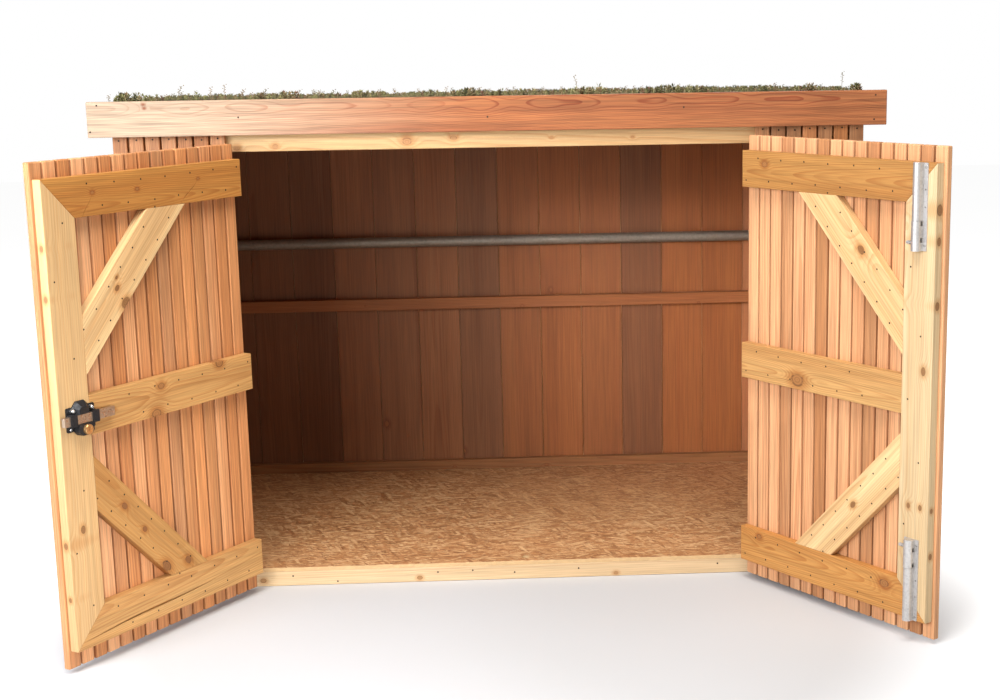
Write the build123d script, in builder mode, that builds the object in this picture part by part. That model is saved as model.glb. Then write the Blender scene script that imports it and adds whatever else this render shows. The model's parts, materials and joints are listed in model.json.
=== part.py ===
"""Timber bike shelter with a living roof, two slatted double doors, tower bolts and a keyed sliding lock.

Millimetres, X to the right, Y into the shelter, Z up. The origin is on the ground, in the middle of the
floor frame. The doors stand open, with their bolts drawn back.
"""
import os
from math import cos, radians, sin, sqrt, tan

from build123d import *

os.makedirs("parts", exist_ok=True)

# Slatted cladding
batten_width = 38
batten_thickness = 18
panel_batten_gap = 4.5
door_batten_gap = 6
panel_battens = 7
door_battens = 16
side_battens = 25
cladding_foot = 13
door_head = 1235

# Doorway
hinge_gap = 5
meeting_gap = 6
left_door_open_angle = 121.5
right_door_open_angle = 123.5

# Wall frame
shelter_depth = 1107
post_size = 45
lintel_underside = 1211
lintel_height = 70
lintel_depth = 70
rail_height = 38
rail_thickness = 27
middle_rail_foot = 609
back_foot_rail_height = 32
top_rail_height = 60

# Floor
sill_height = 42
sill_depth = 70
floor_joist_width = 45
floor_joists_across = 5
deck_board = 11

# Back wall
back_boards = 14
back_board_thickness = 18
back_board_gap = 1.5
back_board_head_gap = 4

# Roof
roof_fall = 2
roof_joist_height = 38
roof_joist_width = 45
roof_joists_across = 5
roof_board = 12
fascia_height = 92
fascia_thickness = 20
roof_overhang_front = 20
roof_overhang_side = 33
fascia_cover = 24
mat_thickness = 36
mat_side_margin = 40
mat_end_margin = 6
mat_edge = 14

# Door frame
ledge_width = 97
ledge_thickness = 25
stile_width = 97
stile_inset = 8
ledge_inset = 2
ledge_floor_clearance = 5.5
ledge_lintel_clearance = 15
brace_width = 97
brace_step = 50

# Hinges
hinge_stand_off = 6
hinge_pin_radius = 3
hinge_pin_clearance = 0.3
hinge_knuckle_radius = 5.5
hinge_knuckle_length = 34
hinge_knuckle_gap = 0.4
hinge_pin_head_radius = 4.5
hinge_pin_head = 2
hinge_plate_height = 110
hinge_leaf = 3
hinge_strap_length = 300
hinge_strap_tip = 18
hinge_wood_clearance = 1

# Tower bolts
bolt_from_hinge = 640
bolt_plate_width = 48
bolt_plate_length = 210
bolt_plate_thickness = 2
bolt_plate_corner = 3
bolt_rod_radius = 9
bolt_rod_clearance = 0.5
bolt_rod_lead = 2
bolt_cover_wall = 2
bolt_sleeve_step = 1.2
bolt_sleeve_length = 72
bolt_sleeve_gap = 1
bolt_travel = 35
bolt_neck_radius = 3
bolt_neck_length = 7
bolt_knob_radius = 4.5
bolt_knob_length = 11
bolt_knob_edge = 1.5
bolt_knob_from_end = 19
bolt_slot_clearance = 1
bolt_notch_height = 11
bolt_notch_edge = 1
bolt_notch_from_end = 26
bolt_hole_clearance = 2.5
bolt_hole_depth = 26

# Sliding lock
lock_from_hinge = 626
lock_bar_height = 628
lock_bar_width = 22
lock_bar_thickness = 10
lock_bar_length = 162
lock_bar_lead = 1.5
lock_bar_stand_off = 6
lock_bar_clearance = 0.5
lock_plate_width = 54
lock_plate_thickness = 3
lock_plate_rise = 42
lock_plate_drop = 39
lock_plate_corner = 14
lock_straps_across = 90
lock_strap_width = 20
lock_strap_rise = 30
lock_strap_drop = 29
lock_strap_corner = 3
lock_bridge_wall = 3
lock_crown_height = 14
lock_crown_inset = 12
lock_crown_corner = 7
lock_body_width = 46
lock_body_depth = 22
lock_body_corner = 9
lock_cylinder_radius = 12.5
lock_cylinder_length = 30
lock_cylinder_edge = 1
lock_plug_radius = 7.5
lock_plug_recess = 1
lock_keyway_width = 2.4
lock_keyway_height = 9
lock_keyway_depth = 4

# Security bar
bar_radius = 17
bar_wall = 3
bar_height = 838
bar_wall_gap = 13
bar_flange_thickness = 5
bar_flange_height = 80
bar_socket_wall = 4
bar_socket_length = 30
bar_socket_clearance = 0.3

# Sizes that follow from the ones above
door_width = door_battens * batten_width + (door_battens - 1) * door_batten_gap
panel_width = panel_battens * batten_width + (panel_battens - 1) * panel_batten_gap
doorway_half = meeting_gap / 2 + door_width + hinge_gap
half_width = doorway_half + panel_width
inner_half = half_width - batten_thickness
front = -shelter_depth / 2
back = shelter_depth / 2
frame_front = front + batten_thickness
frame_back = back - back_board_thickness
deck_top = sill_height + deck_board
lintel_top = lintel_underside + lintel_height
roof_half = half_width + roof_overhang_side + fascia_thickness
roof_front = front - roof_overhang_front - fascia_thickness
roof_back = back + roof_overhang_front + fascia_thickness
deck_half = roof_half - fascia_thickness
deck_front = roof_front + fascia_thickness
deck_back = roof_back - fascia_thickness
fascia_foot = lintel_top - fascia_cover
ledge_foot = deck_top + ledge_floor_clearance
ledge_head = lintel_underside - ledge_lintel_clearance
middle_ledge_foot = (ledge_foot + ledge_head - ledge_width) / 2
stile_edge = door_width - stile_inset
stile_inner = stile_edge - stile_width
door_inner = batten_thickness + ledge_thickness
pin_x = doorway_half - hinge_gap / 2
pin_y = front - hinge_stand_off
SIDES = {"left": -1, "right": 1}
OPEN_ANGLES = {-1: left_door_open_angle, 1: right_door_open_angle}


def roof_height(y: float, above: float = 0) -> float:
    """Height of the roof's underside at a depth, or of a layer above it."""
    return lintel_top + above - (y - front) * tan(radians(roof_fall))


def roof_layer(y_from: float, y_to: float, bottom: float, top: float) -> list:
    """Corners, in depth and height, of a layer that follows the roof's fall."""
    return [
        (y_from, roof_height(y_from, bottom)),
        (y_to, roof_height(y_to, bottom)),
        (y_to, roof_height(y_to, top)),
        (y_from, roof_height(y_from, top)),
    ]


def roof_underside() -> Plane:
    """Plane that the tops of the walls are cut to."""
    return Plane(
        origin=(0, front, lintel_top),
        x_dir=(1, 0, 0),
        z_dir=(0, sin(radians(roof_fall)), cos(radians(roof_fall))),
    )


def door_plane(side: int, near: float, far: float) -> Plane:
    """Sketch plane of a layer of an open door, x from its hinge edge, y up.

    near and far are the layer's depths behind the outer face of the cladding. Extruding the sketch by
    their difference fills the layer, on the left door and on the right one.
    """
    turn = radians(OPEN_ANGLES[side])
    along = Vector(-side * cos(turn), -sin(turn), 0)
    inward = Vector(-side * sin(turn), cos(turn), 0)
    pin = Vector(side * pin_x, pin_y, 0)
    corner = pin + along * (hinge_gap / 2) + inward * hinge_stand_off
    if side < 0:
        return Plane(origin=corner + inward * far, x_dir=along, z_dir=-inward)
    return Plane(origin=corner + inward * near, x_dir=along, z_dir=inward)


def door_point(side: int, along: float, depth: float, height: float) -> Vector:
    """Place in the shelter of a point on an open door."""
    plane = door_plane(side, depth, depth)
    return plane.origin + plane.x_dir * along + Vector(0, 0, height)


def cut_corners(half: float, flat: float, end: float, corner: float) -> list:
    """Corners of a plate from a flat edge at one height to two cut corners at another."""
    shoulder = end - corner if end > flat else end + corner
    return [
        (-half, flat),
        (-half, shoulder),
        (corner - half, end),
        (half - corner, end),
        (half, shoulder),
        (half, flat),
    ]


def spread(count: int, half: float) -> list:
    """Evenly spaced places from -half to half."""
    return [-half + 2 * half * i / (count - 1) for i in range(count)]


# Floor: front sill with the hole of the bottom bolt, frame and deck
bolt_depth = door_inner + bolt_plate_thickness + bolt_rod_clearance + bolt_rod_radius
bolt_x = meeting_gap / 2 + door_width - bolt_from_hinge
bolt_y = front + bolt_depth
bolt_hole_radius = bolt_rod_radius + bolt_hole_clearance
floor_hole_foot = ledge_foot - bolt_travel - bolt_hole_clearance

with BuildPart() as sill:
    with Locations((0, frame_front, 0)):
        Box(2 * inner_half, sill_depth, sill_height, align=(Align.CENTER, Align.MIN, Align.MIN))
    with Locations((bolt_x, bolt_y, floor_hole_foot)):
        Cylinder(
            bolt_hole_radius,
            sill_height,
            align=(Align.CENTER, Align.CENTER, Align.MIN),
            mode=Mode.SUBTRACT,
        )
sill.part.label = "sill"
export_step(sill.part, "parts/sill.step")

joist_foot = frame_front + sill_depth
joist_end = frame_back - sill_depth
with BuildPart() as floor_back_beam:
    with Locations((0, joist_end, 0)):
        Box(2 * inner_half, sill_depth, sill_height, align=(Align.CENTER, Align.MIN, Align.MIN))
floor_back_beam.part.label = "floor_back_beam"
export_step(floor_back_beam.part, "parts/floor_back_beam.step")

with BuildPart() as floor_joists:
    for x in spread(floor_joists_across, inner_half - floor_joist_width / 2):
        with Locations((x, joist_foot, 0)):
            Box(
                floor_joist_width,
                joist_end - joist_foot,
                sill_height,
                align=(Align.CENTER, Align.MIN, Align.MIN),
            )
floor_joists.part.label = "floor_joists"
export_step(floor_joists.part, "parts/floor_joists.step")

with BuildPart() as floor_deck:
    with BuildSketch(Plane.XY.offset(sill_height)):
        with Locations((0, (frame_front + frame_back) / 2)):
            Rectangle(2 * inner_half, frame_back - frame_front)
        with Locations((bolt_x, bolt_y)):
            Circle(bolt_hole_radius, mode=Mode.SUBTRACT)
    extrude(amount=deck_board)
floor_deck.part.label = "floor_deck"
export_step(floor_deck.part, "parts/floor_deck.step")

# Wall frame: lintel with the hole of the top bolt, posts and rails
with BuildPart() as lintel:
    with Locations((0, frame_front, lintel_underside)):
        Box(2 * inner_half, lintel_depth, lintel_height, align=(Align.CENTER, Align.MIN, Align.MIN))
    split(bisect_by=roof_underside(), keep=Keep.BOTTOM)
    with Locations((bolt_x, bolt_y, lintel_underside)):
        Cylinder(
            bolt_hole_radius,
            bolt_hole_depth,
            align=(Align.CENTER, Align.CENTER, Align.MIN),
            mode=Mode.SUBTRACT,
        )
lintel.part.label = "lintel"
export_step(lintel.part, "parts/lintel.step")

with BuildPart() as door_posts:
    with BuildSketch(Plane.XY.offset(deck_top)):
        for side in SIDES.values():
            with Locations((side * (doorway_half + post_size / 2), frame_front + post_size / 2)):
                Rectangle(post_size, post_size)
    extrude(amount=lintel_underside - deck_top)
door_posts.part.label = "door_posts"
export_step(door_posts.part, "parts/door_posts.step")

back_rail_foot = roof_height(frame_back) - top_rail_height
with BuildPart() as corner_posts:
    for y, head in (
        (frame_front + post_size / 2, lintel_underside),
        (frame_back - post_size / 2, back_rail_foot),
    ):
        with BuildSketch(Plane.XY.offset(deck_top)):
            for side in SIDES.values():
                with Locations((side * (inner_half - post_size / 2), y)):
                    Rectangle(post_size, post_size)
        extrude(amount=head - deck_top)
corner_posts.part.label = "corner_posts"
export_step(corner_posts.part, "parts/corner_posts.step")

with BuildPart() as front_rails:
    rail_span = inner_half - doorway_half - 2 * post_size
    rail_middle = doorway_half + post_size + rail_span / 2
    for foot in (deck_top, middle_rail_foot):
        for side in SIDES.values():
            with Locations((side * rail_middle, frame_front, foot)):
                Box(rail_span, rail_thickness, rail_height, align=(Align.CENTER, Align.MIN, Align.MIN))
front_rails.part.label = "front_rails"
export_step(front_rails.part, "parts/front_rails.step")

with BuildPart() as back_rails:
    between_posts = 2 * (inner_half - post_size)
    for foot, height in ((deck_top, back_foot_rail_height), (middle_rail_foot, rail_height)):
        with Locations((0, frame_back, foot)):
            Box(between_posts, rail_thickness, height, align=(Align.CENTER, Align.MAX, Align.MIN))
    with Locations((0, frame_back, back_rail_foot)):
        Box(2 * inner_half, post_size, 2 * top_rail_height, align=(Align.CENTER, Align.MAX, Align.MIN))
    split(bisect_by=roof_underside(), keep=Keep.BOTTOM)
back_rails.part.label = "back_rails"
export_step(back_rails.part, "parts/back_rails.step")

# Side walls
side_from = frame_front + post_size
side_to = frame_back - post_size
side_pitch = (frame_back - frame_front - batten_width) / (side_battens - 1)
for name, side in SIDES.items():
    rail_x = side * (inner_half - rail_thickness / 2)
    with BuildPart() as side_rails:
        for foot in (deck_top, middle_rail_foot):
            with Locations((rail_x, side_from, foot)):
                Box(
                    rail_thickness,
                    side_to - side_from,
                    rail_height,
                    align=(Align.CENTER, Align.MIN, Align.MIN),
                )
        with BuildSketch(Plane.YZ.offset(rail_x)):
            with BuildLine():
                Polyline(*roof_layer(frame_front + lintel_depth, side_to, -rail_height, 0), close=True)
            make_face()
        extrude(amount=rail_thickness / 2, both=True)
    side_rails.part.label = f"side_rails_{name}"
    export_step(side_rails.part, f"parts/side_rails_{name}.step")

    with BuildPart() as side_wall:
        with BuildSketch(Plane.XY.offset(cladding_foot)):
            for i in range(side_battens):
                y = frame_front + batten_width / 2 + i * side_pitch
                with Locations((side * (half_width - batten_thickness / 2), y)):
                    Rectangle(batten_thickness, batten_width)
        extrude(amount=lintel_top)
        split(bisect_by=roof_underside(), keep=Keep.BOTTOM)
    side_wall.part.label = f"side_wall_{name}"
    export_step(side_wall.part, f"parts/side_wall_{name}.step")

    with BuildPart() as front_panel:
        with BuildSketch(Plane.XY.offset(cladding_foot)):
            for i in range(panel_battens):
                x = doorway_half + batten_width / 2 + i * (batten_width + panel_batten_gap)
                with Locations((side * x, front + batten_thickness / 2)):
                    Rectangle(batten_width, batten_thickness)
        extrude(amount=lintel_top)
        split(bisect_by=roof_underside(), keep=Keep.BOTTOM)
    front_panel.part.label = f"front_panel_{name}"
    export_step(front_panel.part, f"parts/front_panel_{name}.step")

# Back wall: wide boards between two corner battens
back_half = half_width - batten_width
board_pitch = 2 * back_half / back_boards
with BuildPart() as back_wall:
    with BuildSketch(Plane.XY.offset(cladding_foot)):
        for i in range(back_boards):
            with Locations((-back_half + (i + 0.5) * board_pitch, back - back_board_thickness / 2)):
                Rectangle(board_pitch - back_board_gap, back_board_thickness)
        for side in SIDES.values():
            with Locations((side * (back_half + batten_width / 2), back - back_board_thickness / 2)):
                Rectangle(batten_width, back_board_thickness)
    extrude(amount=roof_height(back, -back_board_head_gap) - cladding_foot)
back_wall.part.label = "back_wall"
export_step(back_wall.part, "parts/back_wall.step")

# Security bar along the back wall, held by a flange on each back post
bar_y = frame_back - bar_wall_gap - bar_radius
bar_half = inner_half - post_size
with BuildPart() as security_bar:
    with BuildSketch(Plane.YZ):
        with Locations((bar_y, bar_height)):
            Circle(bar_radius)
            Circle(bar_radius - bar_wall, mode=Mode.SUBTRACT)
    extrude(amount=bar_half - bar_flange_thickness - bar_socket_clearance, both=True)
security_bar.part.label = "security_bar"
export_step(security_bar.part, "parts/security_bar.step")

with BuildPart() as bar_flanges:
    for side in SIDES.values():
        face = side * bar_half
        with BuildSketch(Plane.YZ.offset(face)):
            with Locations((frame_back - post_size / 2, bar_height)):
                Rectangle(post_size, bar_flange_height)
        extrude(amount=-side * bar_flange_thickness)
        with BuildSketch(Plane.YZ.offset(face - side * bar_flange_thickness)):
            with Locations((bar_y, bar_height)):
                Circle(bar_radius + bar_socket_clearance + bar_socket_wall)
                Circle(bar_radius + bar_socket_clearance, mode=Mode.SUBTRACT)
        extrude(amount=-side * bar_socket_length)
bar_flanges.part.label = "bar_flanges"
export_step(bar_flanges.part, "parts/bar_flanges.step")

# Roof: joists, board, fascias and the living mat
with BuildPart() as roof_joists:
    for x in spread(roof_joists_across, deck_half - roof_joist_width / 2):
        with BuildSketch(Plane.YZ.offset(x)):
            with BuildLine():
                Polyline(*roof_layer(deck_front, deck_back, 0, roof_joist_height), close=True)
            make_face()
        extrude(amount=roof_joist_width / 2, both=True)
roof_joists.part.label = "roof_joists"
export_step(roof_joists.part, "parts/roof_joists.step")

board_top = roof_joist_height + roof_board
with BuildPart() as roof_deck:
    with BuildSketch(Plane.YZ):
        with BuildLine():
            Polyline(*roof_layer(deck_front, deck_back, roof_joist_height, board_top), close=True)
        make_face()
    extrude(amount=deck_half, both=True)
roof_deck.part.label = "roof_deck"
export_step(roof_deck.part, "parts/roof_deck.step")

with BuildPart() as fascia_front:
    with Locations((0, roof_front, fascia_foot)):
        Box(2 * roof_half, fascia_thickness, fascia_height, align=(Align.CENTER, Align.MIN, Align.MIN))
fascia_front.part.label = "fascia_front"
export_step(fascia_front.part, "parts/fascia_front.step")

back_fascia_foot = fascia_foot + roof_height(deck_back) - roof_height(deck_front)
with BuildPart() as fascia_back:
    with Locations((0, roof_back, back_fascia_foot)):
        Box(2 * roof_half, fascia_thickness, fascia_height, align=(Align.CENTER, Align.MAX, Align.MIN))
fascia_back.part.label = "fascia_back"
export_step(fascia_back.part, "parts/fascia_back.step")

side_fascia_foot = fascia_foot - roof_height(deck_front)
for name, side in SIDES.items():
    with BuildPart() as fascia_side:
        with BuildSketch(Plane.YZ.offset(side * (roof_half - fascia_thickness / 2))):
            with BuildLine():
                Polyline(
                    *roof_layer(deck_front, deck_back, side_fascia_foot, side_fascia_foot + fascia_height),
                    close=True,
                )
            make_face()
        extrude(amount=fascia_thickness / 2, both=True)
    fascia_side.part.label = f"fascia_{name}"
    export_step(fascia_side.part, f"parts/fascia_{name}.step")

with BuildPart() as living_roof_mat:
    with BuildSketch(Plane.YZ):
        with BuildLine():
            Polyline(
                *roof_layer(
                    deck_front + mat_end_margin,
                    deck_back - mat_end_margin,
                    board_top,
                    board_top + mat_thickness,
                ),
                close=True,
            )
        make_face()
    extrude(amount=deck_half - mat_side_margin, both=True)
    chamfer(living_roof_mat.edges().group_by(Axis.Z)[-1], mat_edge)
living_roof_mat.part.label = "living_roof_mat"
export_step(living_roof_mat.part, "parts/living_roof_mat.step")

# Hinges: a plate and pin on each front panel, a strap on each door
hinge_heights = (ledge_foot + ledge_width / 2, ledge_head - ledge_width / 2)
knuckle_reach = hinge_knuckle_radius + hinge_wood_clearance
for name, side in SIDES.items():
    with BuildPart() as hinge_plates:
        for height in hinge_heights:
            foot = height - hinge_plate_height / 2
            with BuildSketch(Plane.XY.offset(foot)):
                with Locations((side * (pin_x + knuckle_reach), front)):
                    Rectangle(
                        batten_width + hinge_gap / 2 - knuckle_reach,
                        hinge_leaf,
                        align=(Align.MIN if side > 0 else Align.MAX, Align.MAX),
                    )
            extrude(amount=hinge_plate_height)
            with BuildSketch(Plane.XY.offset(foot)):
                with Locations((side * pin_x, pin_y)):
                    Circle(hinge_knuckle_radius)
                with Locations((side * (pin_x + knuckle_reach), front)):
                    Rectangle(
                        knuckle_reach,
                        hinge_leaf,
                        align=(Align.MAX if side > 0 else Align.MIN, Align.MAX),
                    )
            extrude(amount=hinge_plate_height)
            with BuildSketch(Plane.XY.offset(height)):
                with Locations((side * pin_x, pin_y)):
                    Rectangle(2 * knuckle_reach, 2 * knuckle_reach)
            extrude(
                amount=hinge_knuckle_length / 2 + hinge_knuckle_gap,
                both=True,
                mode=Mode.SUBTRACT,
            )
            with BuildSketch(Plane.XY.offset(foot)):
                with Locations((side * pin_x, pin_y)):
                    Circle(hinge_pin_radius)
            extrude(amount=hinge_plate_height)
            for head_foot in (foot - hinge_pin_head, foot + hinge_plate_height):
                with BuildSketch(Plane.XY.offset(head_foot)):
                    with Locations((side * pin_x, pin_y)):
                        Circle(hinge_pin_head_radius)
                extrude(amount=hinge_pin_head)
    hinge_plates.part.label = f"hinge_plates_{name}"
    export_step(hinge_plates.part, f"parts/hinge_plates_{name}.step")

    with BuildPart() as hinge_straps:
        for height in hinge_heights:
            with BuildSketch(door_plane(side, -hinge_leaf, 0)):
                Polygon(
                    (-hinge_gap / 2, height - hinge_knuckle_length / 2),
                    (-hinge_gap / 2, height + hinge_knuckle_length / 2),
                    (hinge_strap_length - hinge_strap_tip / 2, height + hinge_strap_tip / 2),
                    (hinge_strap_length - hinge_strap_tip / 2, height - hinge_strap_tip / 2),
                    align=None,
                )
                with Locations((hinge_strap_length - hinge_strap_tip / 2, height)):
                    Circle(hinge_strap_tip / 2)
            extrude(amount=hinge_leaf)
            with BuildSketch(Plane.XY.offset(height)):
                with Locations((side * pin_x, pin_y)):
                    Circle(hinge_knuckle_radius)
            extrude(amount=hinge_knuckle_length / 2, both=True)
        for height in hinge_heights:
            with BuildSketch(Plane.XY.offset(height)):
                with Locations((side * pin_x, pin_y)):
                    Circle(hinge_pin_radius + hinge_pin_clearance)
            extrude(amount=hinge_knuckle_length, both=True, mode=Mode.SUBTRACT)
    hinge_straps.part.label = f"{name}_door_hinge_straps"
    export_step(hinge_straps.part, f"parts/{name}_door_hinge_straps.step")

# Doors: battens on three ledges, a mitred stile and two braces
for name, side in SIDES.items():
    with BuildPart() as door_cladding:
        with BuildSketch(door_plane(side, 0, batten_thickness)):
            for i in range(door_battens):
                x = batten_width / 2 + i * (batten_width + door_batten_gap)
                with Locations((x, (cladding_foot + door_head) / 2)):
                    Rectangle(batten_width, door_head - cladding_foot)
        extrude(amount=batten_thickness)
    door_cladding.part.label = f"{name}_door_battens"
    export_step(door_cladding.part, f"parts/{name}_door_battens.step")

    with BuildPart() as door_ledges:
        with BuildSketch(door_plane(side, batten_thickness, door_inner)):
            with BuildLine():
                Polyline(
                    (ledge_inset, ledge_head),
                    (stile_edge, ledge_head),
                    (stile_inner, ledge_head - ledge_width),
                    (ledge_inset, ledge_head - ledge_width),
                    close=True,
                )
            make_face()
            with BuildLine():
                Polyline(
                    (ledge_inset, ledge_foot),
                    (stile_edge, ledge_foot),
                    (stile_inner, ledge_foot + ledge_width),
                    (ledge_inset, ledge_foot + ledge_width),
                    close=True,
                )
            make_face()
            with Locations(((ledge_inset + stile_inner) / 2, middle_ledge_foot + ledge_width / 2)):
                Rectangle(stile_inner - ledge_inset, ledge_width)
        extrude(amount=ledge_thickness)
    door_ledges.part.label = f"{name}_door_ledges"
    export_step(door_ledges.part, f"parts/{name}_door_ledges.step")

    with BuildPart() as door_stile:
        with BuildSketch(door_plane(side, batten_thickness, door_inner)):
            with BuildLine():
                Polyline(
                    (stile_edge, ledge_head),
                    (stile_inner, ledge_head - ledge_width),
                    (stile_inner, ledge_foot + ledge_width),
                    (stile_edge, ledge_foot),
                    close=True,
                )
            make_face()
        extrude(amount=ledge_thickness)
    door_stile.part.label = f"{name}_door_stile"
    export_step(door_stile.part, f"parts/{name}_door_stile.step")

    brace_cut = brace_width * sqrt(2)
    upper_from = middle_ledge_foot + ledge_width + brace_step
    upper_to = ledge_head - ledge_width
    lower_from = middle_ledge_foot - brace_step
    lower_to = ledge_foot + ledge_width
    with BuildPart() as door_braces:
        with BuildSketch(door_plane(side, batten_thickness, door_inner)):
            with BuildLine():
                Polyline(
                    (stile_inner, upper_from),
                    (stile_inner, upper_from + brace_cut),
                    (stile_inner - (upper_to - upper_from - brace_cut), upper_to),
                    (stile_inner - (upper_to - upper_from), upper_to),
                    close=True,
                )
            make_face()
            with BuildLine():
                Polyline(
                    (stile_inner, lower_from),
                    (stile_inner, lower_from - brace_cut),
                    (stile_inner - (lower_from - brace_cut - lower_to), lower_to),
                    (stile_inner - (lower_from - lower_to), lower_to),
                    close=True,
                )
            make_face()
        extrude(amount=ledge_thickness)
    door_braces.part.label = f"{name}_door_braces"
    export_step(door_braces.part, f"parts/{name}_door_braces.step")

# Tower bolts on the right door: way is 1 for the top bolt, which shoots up, and -1 for the bottom one
cover_inner = bolt_rod_radius + bolt_rod_clearance
cover_radius = cover_inner + bolt_cover_wall
sleeve_radius = cover_radius + bolt_sleeve_step
slot_radius = bolt_neck_radius + bolt_slot_clearance
axis_height = bolt_depth - door_inner
plate_face = door_inner + bolt_plate_thickness
across = door_plane(1, 0, 0).x_dir
for name, end, way in (("top", ledge_head, 1), ("bottom", ledge_foot, -1)):
    tail = end - way * bolt_plate_length
    seam = tail + way * bolt_sleeve_length
    knob_height = tail + way * bolt_knob_from_end
    axis = door_point(1, bolt_from_hinge, bolt_depth, 0)
    with BuildPart() as bolt_case:
        with BuildSketch(door_plane(1, door_inner, plate_face)):
            with Locations((bolt_from_hinge, (end + tail) / 2)):
                RectangleRounded(bolt_plate_width, bolt_plate_length, bolt_plate_corner)
        extrude(amount=bolt_plate_thickness)
        for z_from, z_to, radius in (
            (tail, seam, sleeve_radius),
            (seam + way * bolt_sleeve_gap, end, cover_radius),
        ):
            section = Plane(origin=(axis.X, axis.Y, min(z_from, z_to)), x_dir=-across, z_dir=(0, 0, 1))
            with BuildSketch(section):
                Circle(radius)
                with Locations((0, bolt_plate_thickness - axis_height)):
                    Rectangle(2 * radius, axis_height - bolt_plate_thickness, align=(Align.CENTER, Align.MIN))
                    Rectangle(2 * radius, 2 * radius, align=(Align.CENTER, Align.MAX), mode=Mode.SUBTRACT)
                Circle(cover_inner, mode=Mode.SUBTRACT)
            extrude(amount=abs(z_to - z_from))
        slot_side = Plane(
            origin=door_point(1, bolt_from_hinge, bolt_depth, knob_height + way * bolt_travel / 2),
            x_dir=(0, 0, 1),
            z_dir=-across,
        )
        with BuildSketch(slot_side):
            SlotCenterToCenter(bolt_travel, 2 * slot_radius)
        extrude(amount=2 * sleeve_radius, mode=Mode.SUBTRACT)
        notch_near = plate_face + bolt_notch_edge
        first_notch = tail + way * bolt_notch_from_end
        last_notch = seam - way * (bolt_notch_edge + bolt_notch_height / 2)
        with BuildSketch(door_plane(1, notch_near, bolt_depth)):
            for height in (first_notch, last_notch):
                with Locations((bolt_from_hinge, height)):
                    Rectangle(2 * sleeve_radius, bolt_notch_height, align=(Align.MIN, Align.CENTER))
        extrude(amount=bolt_depth - notch_near, mode=Mode.SUBTRACT)
    bolt_case.part.label = f"{name}_bolt_case"
    export_step(bolt_case.part, f"parts/{name}_bolt_case.step")

    with BuildPart() as bolt_rod:
        with BuildSketch(Plane(origin=(axis.X, axis.Y, min(tail, end)), z_dir=(0, 0, 1))):
            Circle(bolt_rod_radius)
        extrude(amount=bolt_plate_length)
        chamfer(bolt_rod.faces().sort_by(Axis((0, 0, 0), (0, 0, way)))[-1].edges(), bolt_rod_lead)
        neck_side = Plane(
            origin=door_point(1, bolt_from_hinge, bolt_depth, knob_height),
            x_dir=(0, 0, 1),
            z_dir=-across,
        )
        with BuildSketch(neck_side):
            Circle(bolt_neck_radius)
        extrude(amount=sleeve_radius + bolt_neck_length)
        with BuildSketch(neck_side.offset(sleeve_radius + bolt_neck_length)):
            Circle(bolt_knob_radius)
        extrude(amount=bolt_knob_length)
        chamfer(bolt_rod.faces().sort_by(Axis((0, 0, 0), -across))[-1].edges(), bolt_knob_edge)
    bolt_rod.part.label = f"{name}_bolt"
    export_step(bolt_rod.part, f"parts/{name}_bolt.step")

# Sliding lock on the left door: the bar runs under two bridges, between the case's crown and its body
lock_high = lock_bar_height + lock_plate_rise
lock_low = lock_bar_height - lock_plate_drop
channel_half = lock_bar_width / 2 + lock_bar_clearance
channel_high = lock_bar_height + channel_half
channel_low = lock_bar_height - channel_half
bridge_reach = lock_bar_stand_off + lock_bar_thickness + lock_bar_clearance + lock_bridge_wall
bridge_height = 2 * (channel_half + lock_bridge_wall)
strap_centre = (lock_straps_across - lock_strap_width) / 2
strap_places = [lock_from_hinge - strap_centre, lock_from_hinge + strap_centre]
lock_face = door_inner + lock_plate_thickness
plate_half = lock_plate_width / 2
strap_half = lock_strap_width / 2
strap_high = lock_bar_height + lock_strap_rise
strap_low = lock_bar_height - lock_strap_drop
with BuildPart() as lock_case:
    with BuildSketch(door_plane(-1, door_inner, lock_face)):
        with Locations((lock_from_hinge, 0)):
            Polygon(*cut_corners(plate_half, lock_bar_height, lock_high, lock_plate_corner), align=None)
            Polygon(*cut_corners(plate_half, lock_bar_height, lock_low, lock_plate_corner), align=None)
        for x in strap_places:
            with Locations((x, 0)):
                Polygon(*cut_corners(strap_half, lock_bar_height, strap_high, lock_strap_corner), align=None)
                Polygon(*cut_corners(strap_half, lock_bar_height, strap_low, lock_strap_corner), align=None)
    extrude(amount=lock_plate_thickness)
    for depth, inset, corner in (
        (lock_face, 0, lock_plate_corner),
        (lock_face + lock_crown_height, lock_crown_inset, lock_crown_corner),
    ):
        with BuildSketch(door_plane(-1, depth, depth)):
            with Locations((lock_from_hinge, 0)):
                Polygon(*cut_corners(plate_half - inset, channel_high, lock_high - inset, corner), align=None)
    loft()
    with BuildSketch(door_plane(-1, lock_face, door_inner + lock_body_depth)):
        with Locations((lock_from_hinge, 0)):
            Polygon(*cut_corners(lock_body_width / 2, channel_low, lock_low, lock_body_corner), align=None)
    extrude(amount=lock_body_depth - lock_plate_thickness)
    with BuildSketch(door_plane(-1, lock_face, door_inner + bridge_reach)):
        for x in strap_places:
            with Locations((x, lock_bar_height)):
                Rectangle(lock_strap_width, bridge_height)
    extrude(amount=bridge_reach - lock_plate_thickness)
    channel_near = door_inner + lock_bar_stand_off - lock_bar_clearance
    channel_depth = lock_bar_thickness + 2 * lock_bar_clearance
    with BuildSketch(door_plane(-1, channel_near, channel_near + channel_depth)):
        with Locations((lock_from_hinge, lock_bar_height)):
            Rectangle(2 * lock_straps_across, 2 * channel_half)
    extrude(amount=channel_depth, mode=Mode.SUBTRACT)
lock_case.part.label = "lock_case"
export_step(lock_case.part, "parts/lock_case.step")

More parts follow.
